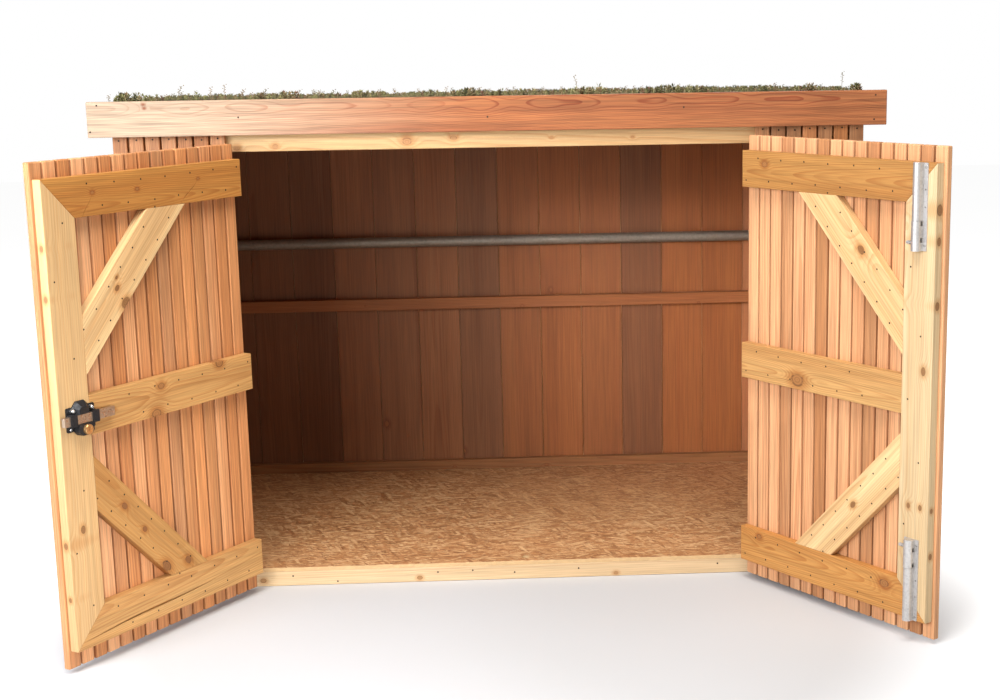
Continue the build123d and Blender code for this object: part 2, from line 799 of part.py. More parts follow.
lock_outward = Axis((0, 0, 0), -door_plane(-1, 0, 0).z_dir)
cylinder_end = door_inner + lock_cylinder_length
plug_end = cylinder_end - lock_plug_recess
cylinder_place = (lock_from_hinge, (channel_low + lock_low) / 2)
with BuildPart() as lock_cylinder:
    with BuildSketch(door_plane(-1, door_inner + lock_body_depth, cylinder_end)):
        with Locations(cylinder_place):
            Circle(lock_cylinder_radius)
    extrude(amount=lock_cylinder_length - lock_body_depth)
    chamfer(lock_cylinder.edges().group_by(lock_outward)[-1], lock_cylinder_edge)
    with BuildSketch(door_plane(-1, plug_end, cylinder_end)):
        with Locations(cylinder_place):
            Circle(lock_plug_radius)
    extrude(amount=lock_plug_recess, mode=Mode.SUBTRACT)
    with BuildSketch(door_plane(-1, plug_end - lock_keyway_depth, plug_end)):
        with Locations(cylinder_place):
            Rectangle(lock_keyway_width, lock_keyway_height)
    extrude(amount=lock_keyway_depth, mode=Mode.SUBTRACT)
lock_cylinder.part.label = "lock_cylinder"
export_step(lock_cylinder.part, "parts/lock_cylinder.step")

with BuildPart() as lock_bar:
    bar_near = door_inner + lock_bar_stand_off
    with BuildSketch(door_plane(-1, bar_near, bar_near + lock_bar_thickness)):
        with Locations((stile_edge, lock_bar_height)):
            Rectangle(lock_bar_length, lock_bar_width, align=(Align.MAX, Align.CENTER))
    extrude(amount=lock_bar_thickness)
    chamfer(lock_bar.faces().sort_by(Axis((0, 0, 0), door_plane(-1, 0, 0).x_dir))[-1].edges(), lock_bar_lead)
lock_bar.part.label = "lock_bar"
export_step(lock_bar.part, "parts/lock_bar.step")

# Places that the record states
for label, value in {
    "half width": half_width,
    "door width": door_width,
    "pin x": pin_x,
    "pin y": pin_y,
    "bar y": bar_y,
    "ledge head": ledge_head,
    "ledge foot": ledge_foot,
    "bolt x, y closed": (bolt_x, bolt_y),
    "roof top at the front": roof_height(deck_front, board_top + mat_thickness),
    "roof half width": roof_half,
    "top bolt": door_point(1, bolt_from_hinge, bolt_depth, ledge_head),
    "lock bar's leading end": door_point(-1, stile_edge, door_inner + lock_bar_stand_off, lock_bar_height),
    "lock way": door_plane(-1, 0, 0).x_dir,
}.items():
    print(label, value)
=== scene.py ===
"""Looks of the bike shelter: eased boards with grain of their own, fittings, planted roof, studio and camera.

Lengths are metres in the row frame: +X to the right, +Y into the shelter, +Z up, the origin on the ground.
"""

import json
import logging
import math
import random
from collections.abc import Iterator, Sequence
from dataclasses import dataclass, field, replace
from enum import Enum
from functools import cache
from typing import Any

import bmesh
import bpy
import numpy as np
from mathutils import Matrix, Vector


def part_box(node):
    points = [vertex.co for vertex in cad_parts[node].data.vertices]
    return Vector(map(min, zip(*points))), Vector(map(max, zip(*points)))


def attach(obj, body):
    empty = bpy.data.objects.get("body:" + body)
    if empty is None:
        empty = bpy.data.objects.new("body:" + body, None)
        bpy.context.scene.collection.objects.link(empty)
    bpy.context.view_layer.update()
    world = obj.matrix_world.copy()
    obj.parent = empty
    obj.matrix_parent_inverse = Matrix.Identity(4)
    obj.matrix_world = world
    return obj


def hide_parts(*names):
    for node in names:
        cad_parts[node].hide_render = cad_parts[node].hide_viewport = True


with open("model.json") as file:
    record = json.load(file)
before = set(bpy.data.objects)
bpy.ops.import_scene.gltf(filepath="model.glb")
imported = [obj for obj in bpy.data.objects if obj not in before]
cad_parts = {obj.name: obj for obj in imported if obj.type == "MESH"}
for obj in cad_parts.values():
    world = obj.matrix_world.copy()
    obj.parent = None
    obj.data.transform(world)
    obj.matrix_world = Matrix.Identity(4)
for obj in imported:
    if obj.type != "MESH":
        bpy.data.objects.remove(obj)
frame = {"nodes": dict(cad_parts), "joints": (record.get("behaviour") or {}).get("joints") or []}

LOG = logging.getLogger("bike_shelter")

MM = 0.001
RIGHT = Vector((1.0, 0.0, 0.0))
INWARD = Vector((0.0, 1.0, 0.0))
UP = Vector((0.0, 0.0, 1.0))

GRAIN = "board_grain"
PITH = "board_pith"
TINT = "board_tint"
KNOT = "board_knot"
KNOTS_A_BOARD = 8
WILD_KNOTS = 3
NO_RADIUS = 0.1 * MM
NOWHERE = 50.0
SEED_SPREAD = 91.7

Pair = tuple[float, float]
Pairs = tuple[Pair, ...]
Triple = tuple[float, float, float]
Triples = tuple[Triple, ...]
Shape = bmesh.types.BMesh
Colour = tuple[float, float, float, float]
WHITE = (1.0, 1.0, 1.0, 1.0)


def paint(red: int, green: int, blue: int) -> Colour:
    """Gives the linear colour that a shader takes.

    Args:
        red: The red of the colour as it shows on a screen, 0 to 255.
        green: Its green.
        blue: Its blue.

    Returns:
        The linear colour with full alpha.
    """
    shown = (red / 255, green / 255, blue / 255)
    linear = (c / 12.92 if c <= 0.04045 else ((c + 0.055) / 1.055) ** 2.4 for c in shown)
    return (*linear, 1.0)


class Side(Enum):
    """Which half of the shelter a piece belongs to, as seen from the front."""

    LEFT = "left"
    RIGHT = "right"


class Level(Enum):
    """Which end of the right door a tower bolt sits at."""

    TOP = "top"
    BOTTOM = "bottom"


class KnotWay(Enum):
    """The way that a branch stub runs through its board."""

    FACE = 1
    EDGE = -1


class Number:
    """A number, a vector or a colour that a shader works out at each point, with signs of arithmetic."""

    def __init__(self, bench: "Bench", socket: bpy.types.NodeSocket) -> None:
        """Holds the socket that gives it, and its bench."""
        self.bench = bench
        self.socket = socket

    def __add__(self, other: "Value") -> "Number":
        """Adds to it."""
        return self.bench.maths("ADD", self, other)

    def __radd__(self, other: float) -> "Number":
        """Adds it to a plain number."""
        return self.bench.maths("ADD", other, self)

    def __sub__(self, other: "Value") -> "Number":
        """Takes away from it."""
        return self.bench.maths("SUBTRACT", self, other)

    def __rsub__(self, other: float) -> "Number":
        """Takes it away from a plain number."""
        return self.bench.maths("SUBTRACT", other, self)

    def __mul__(self, other: "Value") -> "Number":
        """Multiplies it."""
        return self.bench.maths("MULTIPLY", self, other)

    def __truediv__(self, other: "Value") -> "Number":
        """Divides it."""
        return self.bench.maths("DIVIDE", self, other)

    def split(self) -> list["Number"]:
        """Takes a vector apart."""
        return [Number(self.bench, s) for s in self.bench.node("SeparateXYZ", {0: self}).outputs]

    def span(self, low: float, high: float, start: float = 0.0, end: float = 1.0) -> "Number":
        """Maps the range from low to high onto the one from start to end, with soft ends."""
        inputs = {"Value": self, "From Min": low, "From Max": high, "To Min": start, "To Max": end}
        return self.bench.number("MapRange", inputs, interpolation_type="SMOOTHSTEP")


Value = Number | float


class Bench:
    """A node tree, with a short call for each kind of node that the finishes use."""

    def __init__(self, owner: bpy.types.Material | bpy.types.World) -> None:
        """Clears the tree.

        Args:
            owner: The material or the room whose tree it is.
        """
        owner.use_nodes = True
        self.owner = owner
        self.tree = owner.node_tree
        self.tree.nodes.clear()

    def feed(self, socket: bpy.types.NodeSocket, value: Any) -> None:
        """Gives an input socket its value.

        Args:
            socket: The socket.
            value: What it takes: something that the shader works out, or a constant.
        """
        if isinstance(value, Number):
            self.tree.links.new(value.socket, socket)
        else:
            socket.default_value = value

    def node(self, kind: str, inputs: dict[int | str, Any], **settings: Any) -> bpy.types.Node:
        """Adds a node.

        Args:
            kind: Blender's name for its type, without ShaderNode before it.
            inputs: What its input sockets take.
            **settings: The node's own properties.

        Returns:
            The node.
        """
        made = self.tree.nodes.new(f"ShaderNode{kind}")
        for key, value in settings.items():
            setattr(made, key, value)
        for key, value in inputs.items():
            self.feed(made.inputs[key], value)
        return made

    def number(self, kind: str, inputs: dict[int | str, Any], output: int | str = 0,
               **settings: Any) -> Number:
        """Adds a node and gives one of its outputs."""
        return Number(self, self.node(kind, inputs, **settings).outputs[output])

    def attribute(self, name: str) -> Number:
        """Reads a vector that the mesh carries."""
        return self.number("Attribute", {}, "Vector", attribute_name=name)

    def place(self) -> Number:
        """Reads the place on the object, which moves with it."""
        return self.number("TexCoord", {}, "Object")

    def join(self, x: Value, y: Value, z: Value) -> Number:
        """Puts a vector together."""
        return self.number("CombineXYZ", {0: x, 1: y, 2: z})

    def maths(self, operation: str, a: Value, b: Value = 0.0, c: Value = 0.0) -> Number:
        """Works out one sum, by Blender's name for it."""
        return self.number("Math", {0: a, 1: b, 2: c}, operation=operation)

    def length(self, x: Number, y: Number) -> Number:
        """Gives the length of the long side of a right-angled triangle."""
        return self.maths("SQRT", x * x + y * y)

    def stretched(self, vector: Number, along: float, across: float, shift: Value) -> Number:
        """Scales a board's place to this many noise cells a metre along and across the grain."""
        x, y, z = vector.split()
        return self.join(self.maths("MULTIPLY_ADD", x, along, shift), y * across, z * across)

    def noise(self, place: Number, scale: float = 1.0, detail: float = 2.0, roughness: float = 0.5) -> Number:
        """Adds a noise round 0.5, by its cells a metre and its finer layers' number and strength."""
        inputs = {"Vector": place, "Scale": scale, "Detail": detail, "Roughness": roughness}
        return self.number("TexNoise", inputs)

    def chance(self, value: Number) -> Number:
        """Gives a number from 0 to 1 by chance, the same one wherever the value is the same."""
        return self.number("TexWhiteNoise", {"W": value}, noise_dimensions="1D")

    def cells(self, place: Number, scale: float) -> tuple[Number, Number]:
        """Gives how far a place is from its cell's middle, and the cell's own number, 0 to 1."""
        made = self.node("TexVoronoi", {"Vector": place, "Scale": scale})
        return Number(self, made.outputs["Distance"]), Number(self, made.outputs["Color"]).split()[0]

    def ramp(self, value: Value, stops: Sequence[tuple[float, Colour]]) -> Number:
        """Turns a number into a colour.

        Args:
            value: The number, 0 to 1.
            stops: Each stop's place and colour, in order.

        Returns:
            The colour.
        """
        made = self.node("ValToRGB", {0: value})
        ramp = made.color_ramp
        while len(ramp.elements) < len(stops):
            ramp.elements.new(1.0)
        for element, (place, colour) in zip(ramp.elements, stops):
            element.position = place
            element.color = colour
        return Number(self, made.outputs[0])

    def blend(self, share: Value, first: Number | Colour, second: Number | Colour,
              how: str = "MIX") -> Number:
        """Blends two colours.

        Args:
            share: How much of the second goes in, 0 to 1.
            first: The colour below.
            second: The colour on top.
            how: Blender's name for the blend.

        Returns:
            The blended colour.
        """
        made = self.node("Mix", {}, data_type="RGBA", blend_type=how)
        colours = [s for s in made.inputs if s.type == "RGBA"]
        for socket, value in zip((made.inputs[0], *colours), (share, first, second)):
            self.feed(socket, value)
        return Number(self, next(s for s in made.outputs if s.type == "RGBA"))

    def darken(self, share: Value, colour: Number, by: Number | Colour) -> Number:
        """Multiplies a colour by another, as far as share says."""
        return self.blend(share, colour, self.blend(1.0, colour, by, "MULTIPLY"))

    def bump(self, height: Number, depth: float, strength: float) -> Number:
        """Turns a height of 0 to 1, this many metres deep, into a surface's relief."""
        return self.number("Bump", {"Height": height, "Distance": depth, "Strength": strength})


@dataclass(frozen=True)
class Finish:
    """What every finish has.

    Attributes:
        name: The material's name.
        slot: The record's slot that it stands for.
    """

    name: str
    slot: str

    def mix(self, bench: Bench) -> dict[str, Any]:
        """Works out what the surface's sockets take, by their names with _ for a space."""
        raise NotImplementedError


@dataclass(frozen=True)
class WoodFinish(Finish):
    """Planed timber, whose rings, streaks, fibres and knots follow each board's own grain.

    Attributes:
        pale: The colour between the rings.
        streak: The colour of the broad streaks.
        ring: What the late wood multiplies the colour by.
        blush: What a board of the second hue is multiplied by.
        dim: How bright the darkest board is.
        bright: How bright the palest board is.
        pitch: The width of a year's ring.
        rings: How strongly the late wood shows.
        streaks: How strongly the streaks show.
        late: How far through its year a ring starts to darken.
        wander: How far a ring strays from true, in metres.
        fibres: How strongly the fibres show.
        roughness: The middle roughness.
        relief: The real depth of the raised fibres.
        knot_rim: The colour of a knot's rim.
        knot_heart: The colour of its middle.
        knot_bark: The colour of the bark round it.
        knot_stretch: How wide a knot is for its length along the board.
        figure: How many times a metre the rings swell and shrink along the board.
        highlight_colour: The colour of the painted highlight that makes a board paler, with fainter rings,
            towards its low end.
        highlight_span: Where along the board the painted highlight is full and where it ends.
    """

    pale: Colour
    streak: Colour
    ring: Colour
    blush: Colour
    dim: float = 0.75
    bright: float = 1.08
    pitch: float = 4.0 * MM
    rings: float = 0.5
    streaks: float = 0.6
    late: float = 0.25
    wander: float = 6.0 * MM
    fibres: float = 0.25
    roughness: float = 0.62
    relief: float = 0.35 * MM
    knot_rim: Colour = paint(112, 62, 28)
    knot_heart: Colour = paint(150, 92, 48)
    knot_bark: Colour = paint(62, 38, 22)
    knot_stretch: float = 0.72
    figure: float = 1.3
    highlight_colour: Colour | None = None
    highlight_span: Pair = (-1.0, 0.0)

    def mix(self, bench: Bench) -> dict[str, Any]:
        """Mixes the finish.

        Args:
            bench: The tree to build in.

        Returns:
            The sockets' values, by name.
        """
        place = bench.attribute(GRAIN)
        along = place.split()[0]
        tone, hue, seed = bench.attribute(TINT).split()
        shift = seed * SEED_SPREAD
        nearest, push = self.knots(bench, place)
        late, year = self.years(bench, place, shift, push)

        streak = bench.noise(bench.stretched(place, 0.7, 16.0, shift), roughness=0.55)
        colour = bench.blend(streak.span(0.35, 0.68, 0.0, self.streaks), self.pale, self.streak)
        ring_share = late * year.span(0.1, 0.9, 0.35, 1.0) * self.rings
        # Painted highlight: towards its low end the board turns paler and its rings fainter.
        if self.highlight_colour:
            highlight_place = along + streak * 0.35 - 0.17
            colour = bench.blend(highlight_place.span(*self.highlight_span, 0.9, 0.0), colour, self.highlight_colour)
            ring_share = ring_share * highlight_place.span(*self.highlight_span, 0.3, 1.0)
        colour = bench.darken(hue.span(0.15, 0.95), colour, self.blush)
        colour = bench.darken(ring_share, colour, self.ring)

        fibre = bench.noise(bench.stretched(place, 9.0, 520.0, shift), detail=1.0)
        fleck = bench.noise(bench.stretched(place, 2.6, 120.0, shift), detail=1.0, roughness=0.6)
        fibre_gain = fibre.span(0.3, 0.7, 1.0 - self.fibres, 1.0 + 0.4 * self.fibres)
        fleck_gain = fleck.span(0.32, 0.6, 1.0 - 0.7 * self.fibres, 1.0 + 0.2 * self.fibres)
        gain = fibre_gain * fleck_gain * tone.span(0.0, 1.0, self.dim, self.bright)
        grey = bench.number("CombineColor", {0: gain, 1: gain, 2: gain})
        colour = bench.blend(1.0, colour, grey, "MULTIPLY")

        ragged = nearest * streak.span(0.3, 0.7, 0.75, 1.3)
        colour = bench.darken(ragged.span(2.6, 0.9, 0.0, 0.6), colour, self.ring)
        turns = bench.maths("PINGPONG", ragged, 0.2)
        knot = bench.blend(turns.span(-0.1, 0.2), self.knot_rim, self.knot_heart)
        colour = bench.blend(ragged.span(1.15, 0.7, 0.0, 0.85), colour, knot)
        off_bark = bench.maths("ABSOLUTE", ragged - 0.92)
        bark = off_bark.span(0.02, 0.2, 0.6, 0.0) * fleck.span(0.35, 0.6)
        colour = bench.blend(bark, colour, self.knot_bark)

        rough = fibre * 0.16 + late * 0.06 + (self.roughness - 0.11)
        normal = bench.bump(fibre, self.relief, 0.5)
        return dict(Base_Color=colour, Roughness=rough, Normal=normal, Specular_IOR_Level=0.3)

    def knots(self, bench: Bench, place: Number) -> tuple[Number, Number]:
        """Reads the board's knots and how they push its rings aside.

        Args:
            bench: The tree to build in.
            place: The place on the board.

        Returns:
            The distance to the nearest knot, in its own radii, and the push on the rings, in metres.
        """
        along, across, through = place.split()
        nearest: Value = NOWHERE
        push: Value = 0.0
        for number in range(KNOTS_A_BOARD):
            knot_along, knot_side, signed = bench.attribute(f"{KNOT}_{number}").split()
            on_edge = bench.maths("LESS_THAN", signed, 0.0)
            radius = bench.maths("MAXIMUM", bench.maths("ABSOLUTE", signed), NO_RADIUS)
            side = across * (1.0 - on_edge) + through * on_edge
            radii = bench.length((along - knot_along) * self.knot_stretch, side - knot_side) / radius
            spread = radii * 0.42
            push = push + bench.maths("EXPONENT", spread * spread * -1.0) * radius * 1.5
            nearest = bench.maths("MINIMUM", nearest, radii)
        return nearest, push

    def years(self, bench: Bench, place: Number, shift: Number, push: Number) -> tuple[Number, Number]:
        """Works out the rings of the log that the board was sawn from.

        Args:
            bench: The tree to build in.
            place: The place on the board.
            shift: What parts this board's noise from the others'.
            push: How far the knots push the rings, in metres.

        Returns:
            How late in its year the wood grew, 0 to 1, and a number for the year, 0 to 1.
        """
        along, across, through = place.split()
        pith_across, pith_through, taper = bench.attribute(PITH).split()
        radius = bench.length(across - pith_across, through - pith_through)
        stray = bench.noise(bench.stretched(place, self.figure, 7.0, shift), detail=1.0)
        ripple = bench.noise(bench.stretched(place, 9.0, 60.0, shift), detail=1.0)
        bent = radius + along * taper + push + stray * (3.0 * self.wander) + ripple * (0.35 * self.pitch)
        turns = bent / self.pitch
        part = bench.maths("FRACT", turns)
        late = part.span(self.late, 0.9) * part.span(1.0, 0.93)
        return late, bench.chance(bench.maths("FLOOR", turns) + shift)


@dataclass(frozen=True)
class StrandFinish(Finish):
    """Strand board: flat wood strands pressed at many angles, over and under each other.

    Attributes:
        dark: The colour of the darkest strands and of the shadows between strands.
        middle: The colour of most strands.
        pale: The colour of the palest.
        edge: The colour of its sawn edges.
        strand_length: How long a strand is.
        strand_width: How wide it is.
        turns: The angle of each layer of strands to the board's length.
        layer_shift: How many strands a layer lies along from the one before.
    """

    dark: Colour = paint(112, 66, 36)
    middle: Colour = paint(174, 123, 77)
    pale: Colour = paint(216, 182, 134)
    edge: Colour = paint(206, 172, 124)
    strand_length: float = 62.0 * MM
    strand_width: float = 9.0 * MM
    turns: tuple[float, ...] = (0.0, 0.45, -0.5, 1.2)
    layer_shift: float = 7.3

    def mix(self, bench: Bench) -> dict[str, Any]:
        """Mixes the finish.

        Args:
            bench: The tree to build in.

        Returns:
            The sockets' values, by name.
        """
        place = bench.attribute(GRAIN)
        warp = bench.noise(place, scale=9.0, detail=1.0)
        top: Value = 0.0
        reach: Value = 0.0
        for number, turn in enumerate(self.turns):
            turned = bench.number("VectorRotate", {"Vector": place, "Angle": turn}, rotation_type="Z_AXIS")
            x, y, z = turned.split()
            laid = bench.join(x * (1 / self.strand_length) + warp * 0.5 + number * self.layer_shift,
                              y * (1 / self.strand_width) + warp, z * (1 / self.strand_width))
            distance, rank = bench.cells(laid, 1.0)
            above = bench.maths("GREATER_THAN", rank, top)
            reach = above * distance + (1.0 - above) * reach
            top = bench.maths("MAXIMUM", rank, top)
        shade = bench.chance(top * 997.0)
        fibre = bench.noise(bench.stretched(place, 30.0, 420.0, 0.0))
        chip = bench.noise(bench.stretched(place, 70.0, 260.0, 5.0))
        blotch = bench.noise(place, scale=3.0)
        mixed = shade * 0.5 + fibre * 0.6 + blotch * 0.25 - 0.22
        colour = bench.ramp(mixed, ((0.0, self.dark), (0.45, self.middle), (1.0, self.pale)))
        colour = bench.blend(reach.span(0.5, 0.85, 0.0, 0.45), colour, self.dark)
        colour = bench.blend(chip.span(0.6, 0.68, 0.0, 0.8), colour, self.pale)
        colour = bench.blend(chip.span(0.38, 0.3, 0.0, 0.8), colour, self.dark)
        upright = bench.number("TexCoord", {}, "Normal").split()[2]
        level = bench.maths("ABSOLUTE", upright)
        colour = bench.blend(level.span(0.3, 0.8, 0.8, 0.0), colour, self.edge)
        normal = bench.bump(top * 0.7 + reach * -0.5, 0.6 * MM, 0.6)
        rough = fibre.span(0.2, 0.8, 0.5, 0.75)
        return dict(Base_Color=colour, Roughness=rough, Normal=normal, Specular_IOR_Level=0.35)


@dataclass(frozen=True)
class MetalFinish(Finish):
    """Metal with crystals or brushing, dull patches, pits and scratches.

    Attributes:
        pale: The colour of its brightest crystals.
        dull: The colour of its dullest.
        spangle: How wide a crystal is.
        contrast: How far the crystals differ.
        clouds: How strong the dull patches are.
        smooth: The lowest roughness.
        rough: The highest.
        metallic: How much of it is bare metal.
        grime: The colour of the dirt on it.
        grime_share: How much dirt there is.
        relief: How deep its crystals and scratches are.
    """

    pale: Colour
    dull: Colour
    spangle: float = 9.0 * MM
    contrast: float = 0.5
    clouds: float = 0.5
    smooth: float = 0.28
    rough: float = 0.5
    metallic: float = 0.9
    grime: Colour = paint(70, 62, 54)
    grime_share: float = 0.25
    relief: float = 0.08 * MM

    def mix(self, bench: Bench) -> dict[str, Any]:
        """Mixes the finish.

        Args:
            bench: The tree to build in.

        Returns:
            The sockets' values, by name.
        """
        place = bench.place()
        warped = bench.noise(place, scale=0.4 / self.spangle)
        aside = bench.join(warped * self.spangle, 0.0, 0.0)
        moved = bench.number("VectorMath", {0: place, 1: aside}, operation="ADD")
        facet = bench.cells(moved, 1 / self.spangle)[1]
        cloud = bench.noise(place, scale=14.0, detail=4.0, roughness=0.6)
        scratch = bench.noise(bench.stretched(place, 700.0, 40.0, 0.0), detail=1.0)
        share = facet * self.contrast + cloud * self.clouds - 0.15
        colour = bench.blend(share.span(0.0, 0.8), self.pale, self.dull)
        colour = bench.blend(cloud.span(0.55, 0.8, 0.0, self.grime_share), colour, self.grime)
        rough = (facet * 0.6 + scratch * 0.4).span(0.1, 0.8, self.smooth, self.rough)
        normal = bench.bump(facet * 0.4 + scratch * 0.3 + cloud * 0.5, self.relief, 0.5)
        return dict(Base_Color=colour, Metallic=self.metallic, Roughness=rough, Normal=normal)


@dataclass(frozen=True)
class PlantFinish(Finish):
    """Small fleshy leaves, each tuft in its own green, with dry and red tips."""

    deep: Colour = paint(38, 38, 20)
    fresh: Colour = paint(160, 154, 100)
    dry: Colour = paint(142, 116, 84)
    red: Colour = paint(112, 66, 52)

    def mix(self, bench: Bench) -> dict[str, Any]:
        """Mixes the finish.

        Args:
            bench: The tree to build in.

        Returns:
            The sockets' values, by name.
        """
        tone, hue, seed = bench.attribute(TINT).split()
        place = bench.place()
        speck = bench.noise(place, scale=420.0)
        drift = bench.noise(place, scale=4.5, detail=3.0)
        green = bench.ramp(tone * 0.7 + speck * 0.6 - 0.25, ((0.0, self.deep), (1.0, self.fresh)))
        dryness = (hue * 0.6 + drift * 0.7).span(0.68, 0.95, 0.0, 0.9)
        colour = bench.blend(dryness, green, self.dry)
        colour = bench.blend(seed.span(0.84, 0.97, 0.0, 0.85), colour, self.red)
        rough = speck.span(0.2, 0.8, 0.45, 0.7)
        normal = bench.bump(speck, 0.4 * MM, 0.4)
        return dict(Base_Color=colour, Roughness=rough, Normal=normal, Specular_IOR_Level=0.4)


@dataclass(frozen=True)
class SoilFinish(Finish):
    """Moss and crumbs of substrate between the plants."""

    soil: Colour = paint(58, 44, 32)
    moss: Colour = paint(84, 86, 42)
    crumb: Colour = paint(120, 96, 72)

    def mix(self, bench: Bench) -> dict[str, Any]:
        """Mixes the finish.

        Args:
            bench: The tree to build in.

        Returns:
            The sockets' values, by name.
        """
        place = bench.place()
        patch = bench.noise(place, scale=22.0, detail=5.0, roughness=0.65)
        distance, crumb = bench.cells(place, 260.0)
        colour = bench.blend(patch.span(0.42, 0.6), self.soil, self.moss)
        colour = bench.blend(crumb.span(0.82, 0.95, 0.0, 0.8), colour, self.crumb)
        normal = bench.bump(distance * 0.7 + patch * 0.6, 3.0 * MM, 0.8)
        rough = patch.span(0.3, 0.7, 0.8, 0.95)
        return dict(Base_Color=colour, Roughness=rough, Normal=normal, Specular_IOR_Level=0.2)


@dataclass(frozen=True)
class PaperFinish(Finish):
    """The studio's pale paper floor, which runs out into the white of the room.

    Attributes:
        tint: The paper's colour.
        shade: The colour of its faint clouds.
        middle: The middle of the part that stays paper.
        near: How far from there it starts to run out.
        far: Where it is as bright as the room.
        glow: How much light it adds there.
    """

    tint: Colour = paint(190, 189, 188)
    shade: Colour = paint(185, 184, 182)
    middle: Triple = (0.0, -0.9, 0.0)
    near: float = 0.85
    far: float = 1.5
    glow: float = 0.9

    def mix(self, bench: Bench) -> dict[str, Any]:
        """Mixes the finish.

        Args:
            bench: The tree to build in.

        Returns:
            The sockets' values, by name.
        """
        place = bench.place()
        cloud = bench.noise(place, scale=0.8)
        colour = bench.blend(cloud.span(0.3, 0.7), self.tint, self.shade)
        away = bench.number("VectorMath", {0: place, 1: self.middle}, "Value", operation="DISTANCE")
        glow = away.span(self.near, self.far, 0.0, self.glow)
        return dict(Base_Color=colour, Roughness=0.7, Specular_IOR_Level=0.2, Emission_Color=WHITE,
                    Emission_Strength=glow)


CEDAR = WoodFinish(
    "cedar_batten", "cedar", pale=paint(207, 156, 112), streak=paint(192, 137, 94),
    ring=paint(214, 178, 156), blush=paint(250, 228, 200), dim=0.74, bright=1.22, pitch=3.2 * MM,
    streaks=0.7, wander=3.0 * MM, fibres=0.22, roughness=0.6)
WALL_CEDAR = replace(CEDAR, name="cedar_wall", pale=paint(203, 148, 101), streak=paint(188, 129, 84))
# Painted highlight: the fascias turn paler towards their low ends, the front one towards its left end.
FASCIA_CEDAR = WoodFinish(
    "cedar_fascia", "cedar", pale=paint(155, 96, 56), streak=paint(134, 76, 43), ring=paint(200, 146, 122),
    blush=paint(246, 226, 212), dim=0.94, bright=1.0, pitch=3.6 * MM, rings=0.85, late=0.6, fibres=0.26,
    figure=6.5, highlight_colour=paint(184, 163, 136), highlight_span=(-0.98, 0.0), knot_rim=paint(112, 58, 34),
    knot_heart=paint(134, 76, 46))
STAINED = WoodFinish(
    "stained_board", "stained_board", pale=paint(150, 98, 62), streak=paint(130, 80, 48),
    ring=paint(210, 164, 140), blush=paint(253, 232, 192), dim=0.6, bright=1.5, pitch=3.0 * MM, rings=0.3,
    streaks=0.5, wander=3.0 * MM, fibres=0.14)
BACK_RAIL = WoodFinish(
    "stained_rail", "softwood", pale=paint(158, 109, 65), streak=paint(142, 91, 51),
    ring=paint(222, 178, 150), blush=paint(244, 222, 206), dim=0.85, bright=1.04, pitch=5.0 * MM, rings=0.4,
    streaks=0.5, wander=5.0 * MM, fibres=0.16)
TREATED_PINE = WoodFinish(
    "treated_pine", "treated_pine", pale=paint(192, 149, 93), streak=paint(174, 124, 71),
    ring=paint(200, 150, 100), blush=paint(246, 222, 180), dim=0.74, bright=1.12, pitch=4.5 * MM,
    rings=0.45, wander=7.0 * MM, fibres=0.16, knot_rim=paint(116, 74, 42), knot_heart=paint(156, 106, 60))
SOFTWOOD = WoodFinish(
    "pale_softwood", "softwood", pale=paint(200, 175, 135), streak=paint(190, 158, 113),
    ring=paint(228, 192, 150), blush=paint(252, 236, 216), dim=0.92, bright=1.04, pitch=5.0 * MM, rings=0.4,
    streaks=0.5, fibres=0.12, knot_rim=paint(96, 61, 34), knot_heart=paint(134, 92, 55))
SILL_PINE = replace(
    SOFTWOOD, name="sill_softwood", pale=paint(212, 190, 155), streak=paint(202, 172, 132),
    blush=paint(252, 238, 220), dim=0.96, rings=0.35, knot_rim=paint(130, 88, 50),
    knot_heart=paint(168, 124, 80))
BRACE_PINE = replace(
    SOFTWOOD, name="brace_softwood", pale=paint(202, 171, 124), streak=paint(176, 134, 86),
    ring=paint(222, 182, 134), blush=paint(250, 220, 178), dim=0.7, bright=1.25, streaks=0.65, fibres=0.14,
    knot_rim=paint(92, 56, 30), knot_heart=paint(126, 82, 46))
LINTEL_PINE = replace(
    SOFTWOOD, name="lintel_softwood", pale=paint(214, 179, 128), streak=paint(203, 157, 104),
    ring=paint(226, 184, 138), dim=0.96, bright=1.0, pitch=6.0 * MM, streaks=0.6,
    knot_rim=paint(150, 98, 56), knot_heart=paint(184, 136, 88), knot_bark=paint(104, 64, 36))
STRAND = StrandFinish("strand_board", "strand_board")
GALVANISED = MetalFinish(
    "galvanised_steel", "galvanised_steel", pale=paint(200, 196, 192), dull=paint(156, 154, 152),
    spangle=5.0 * MM, contrast=0.3, clouds=0.3, smooth=0.32, metallic=0.75)
WEATHERED_TUBE = MetalFinish(
    "galvanised_tube", "galvanised_steel", pale=paint(138, 129, 116), dull=paint(102, 93, 83), smooth=0.45,
    rough=0.65, spangle=6.0 * MM, contrast=0.2, clouds=0.35, metallic=0.6, grime_share=0.2)
BRIGHT = MetalFinish(
    "bright_steel", "bright_steel", pale=paint(186, 164, 142), dull=paint(146, 112, 86), spangle=4.0 * MM,
    contrast=0.2, clouds=0.3, smooth=0.25, rough=0.45, grime=paint(120, 78, 48), grime_share=0.3)
CHROME = MetalFinish(
    "bolt_heads", "bright_steel", pale=paint(226, 224, 220), dull=paint(176, 172, 166), spangle=3.0 * MM,
    smooth=0.14, rough=0.3, grime_share=0.15, relief=0.03 * MM)
IRON = MetalFinish(
    "black_iron", "black_iron", pale=paint(38, 38, 40), dull=paint(22, 22, 24), spangle=3.0 * MM,
    smooth=0.3, rough=0.55, metallic=0.35, grime_share=0.12, relief=0.25 * MM)
BRASS = MetalFinish(
    "brass", "brass", pale=paint(222, 176, 120), dull=paint(188, 138, 84), spangle=5.0 * MM, smooth=0.25,
    rough=0.42, grime=paint(92, 56, 30))
SCREW_STEEL = MetalFinish(
    "screw_steel", "galvanised_steel", pale=paint(176, 172, 166), dull=paint(128, 124, 120),
    spangle=2.0 * MM, smooth=0.3, metallic=0.8)
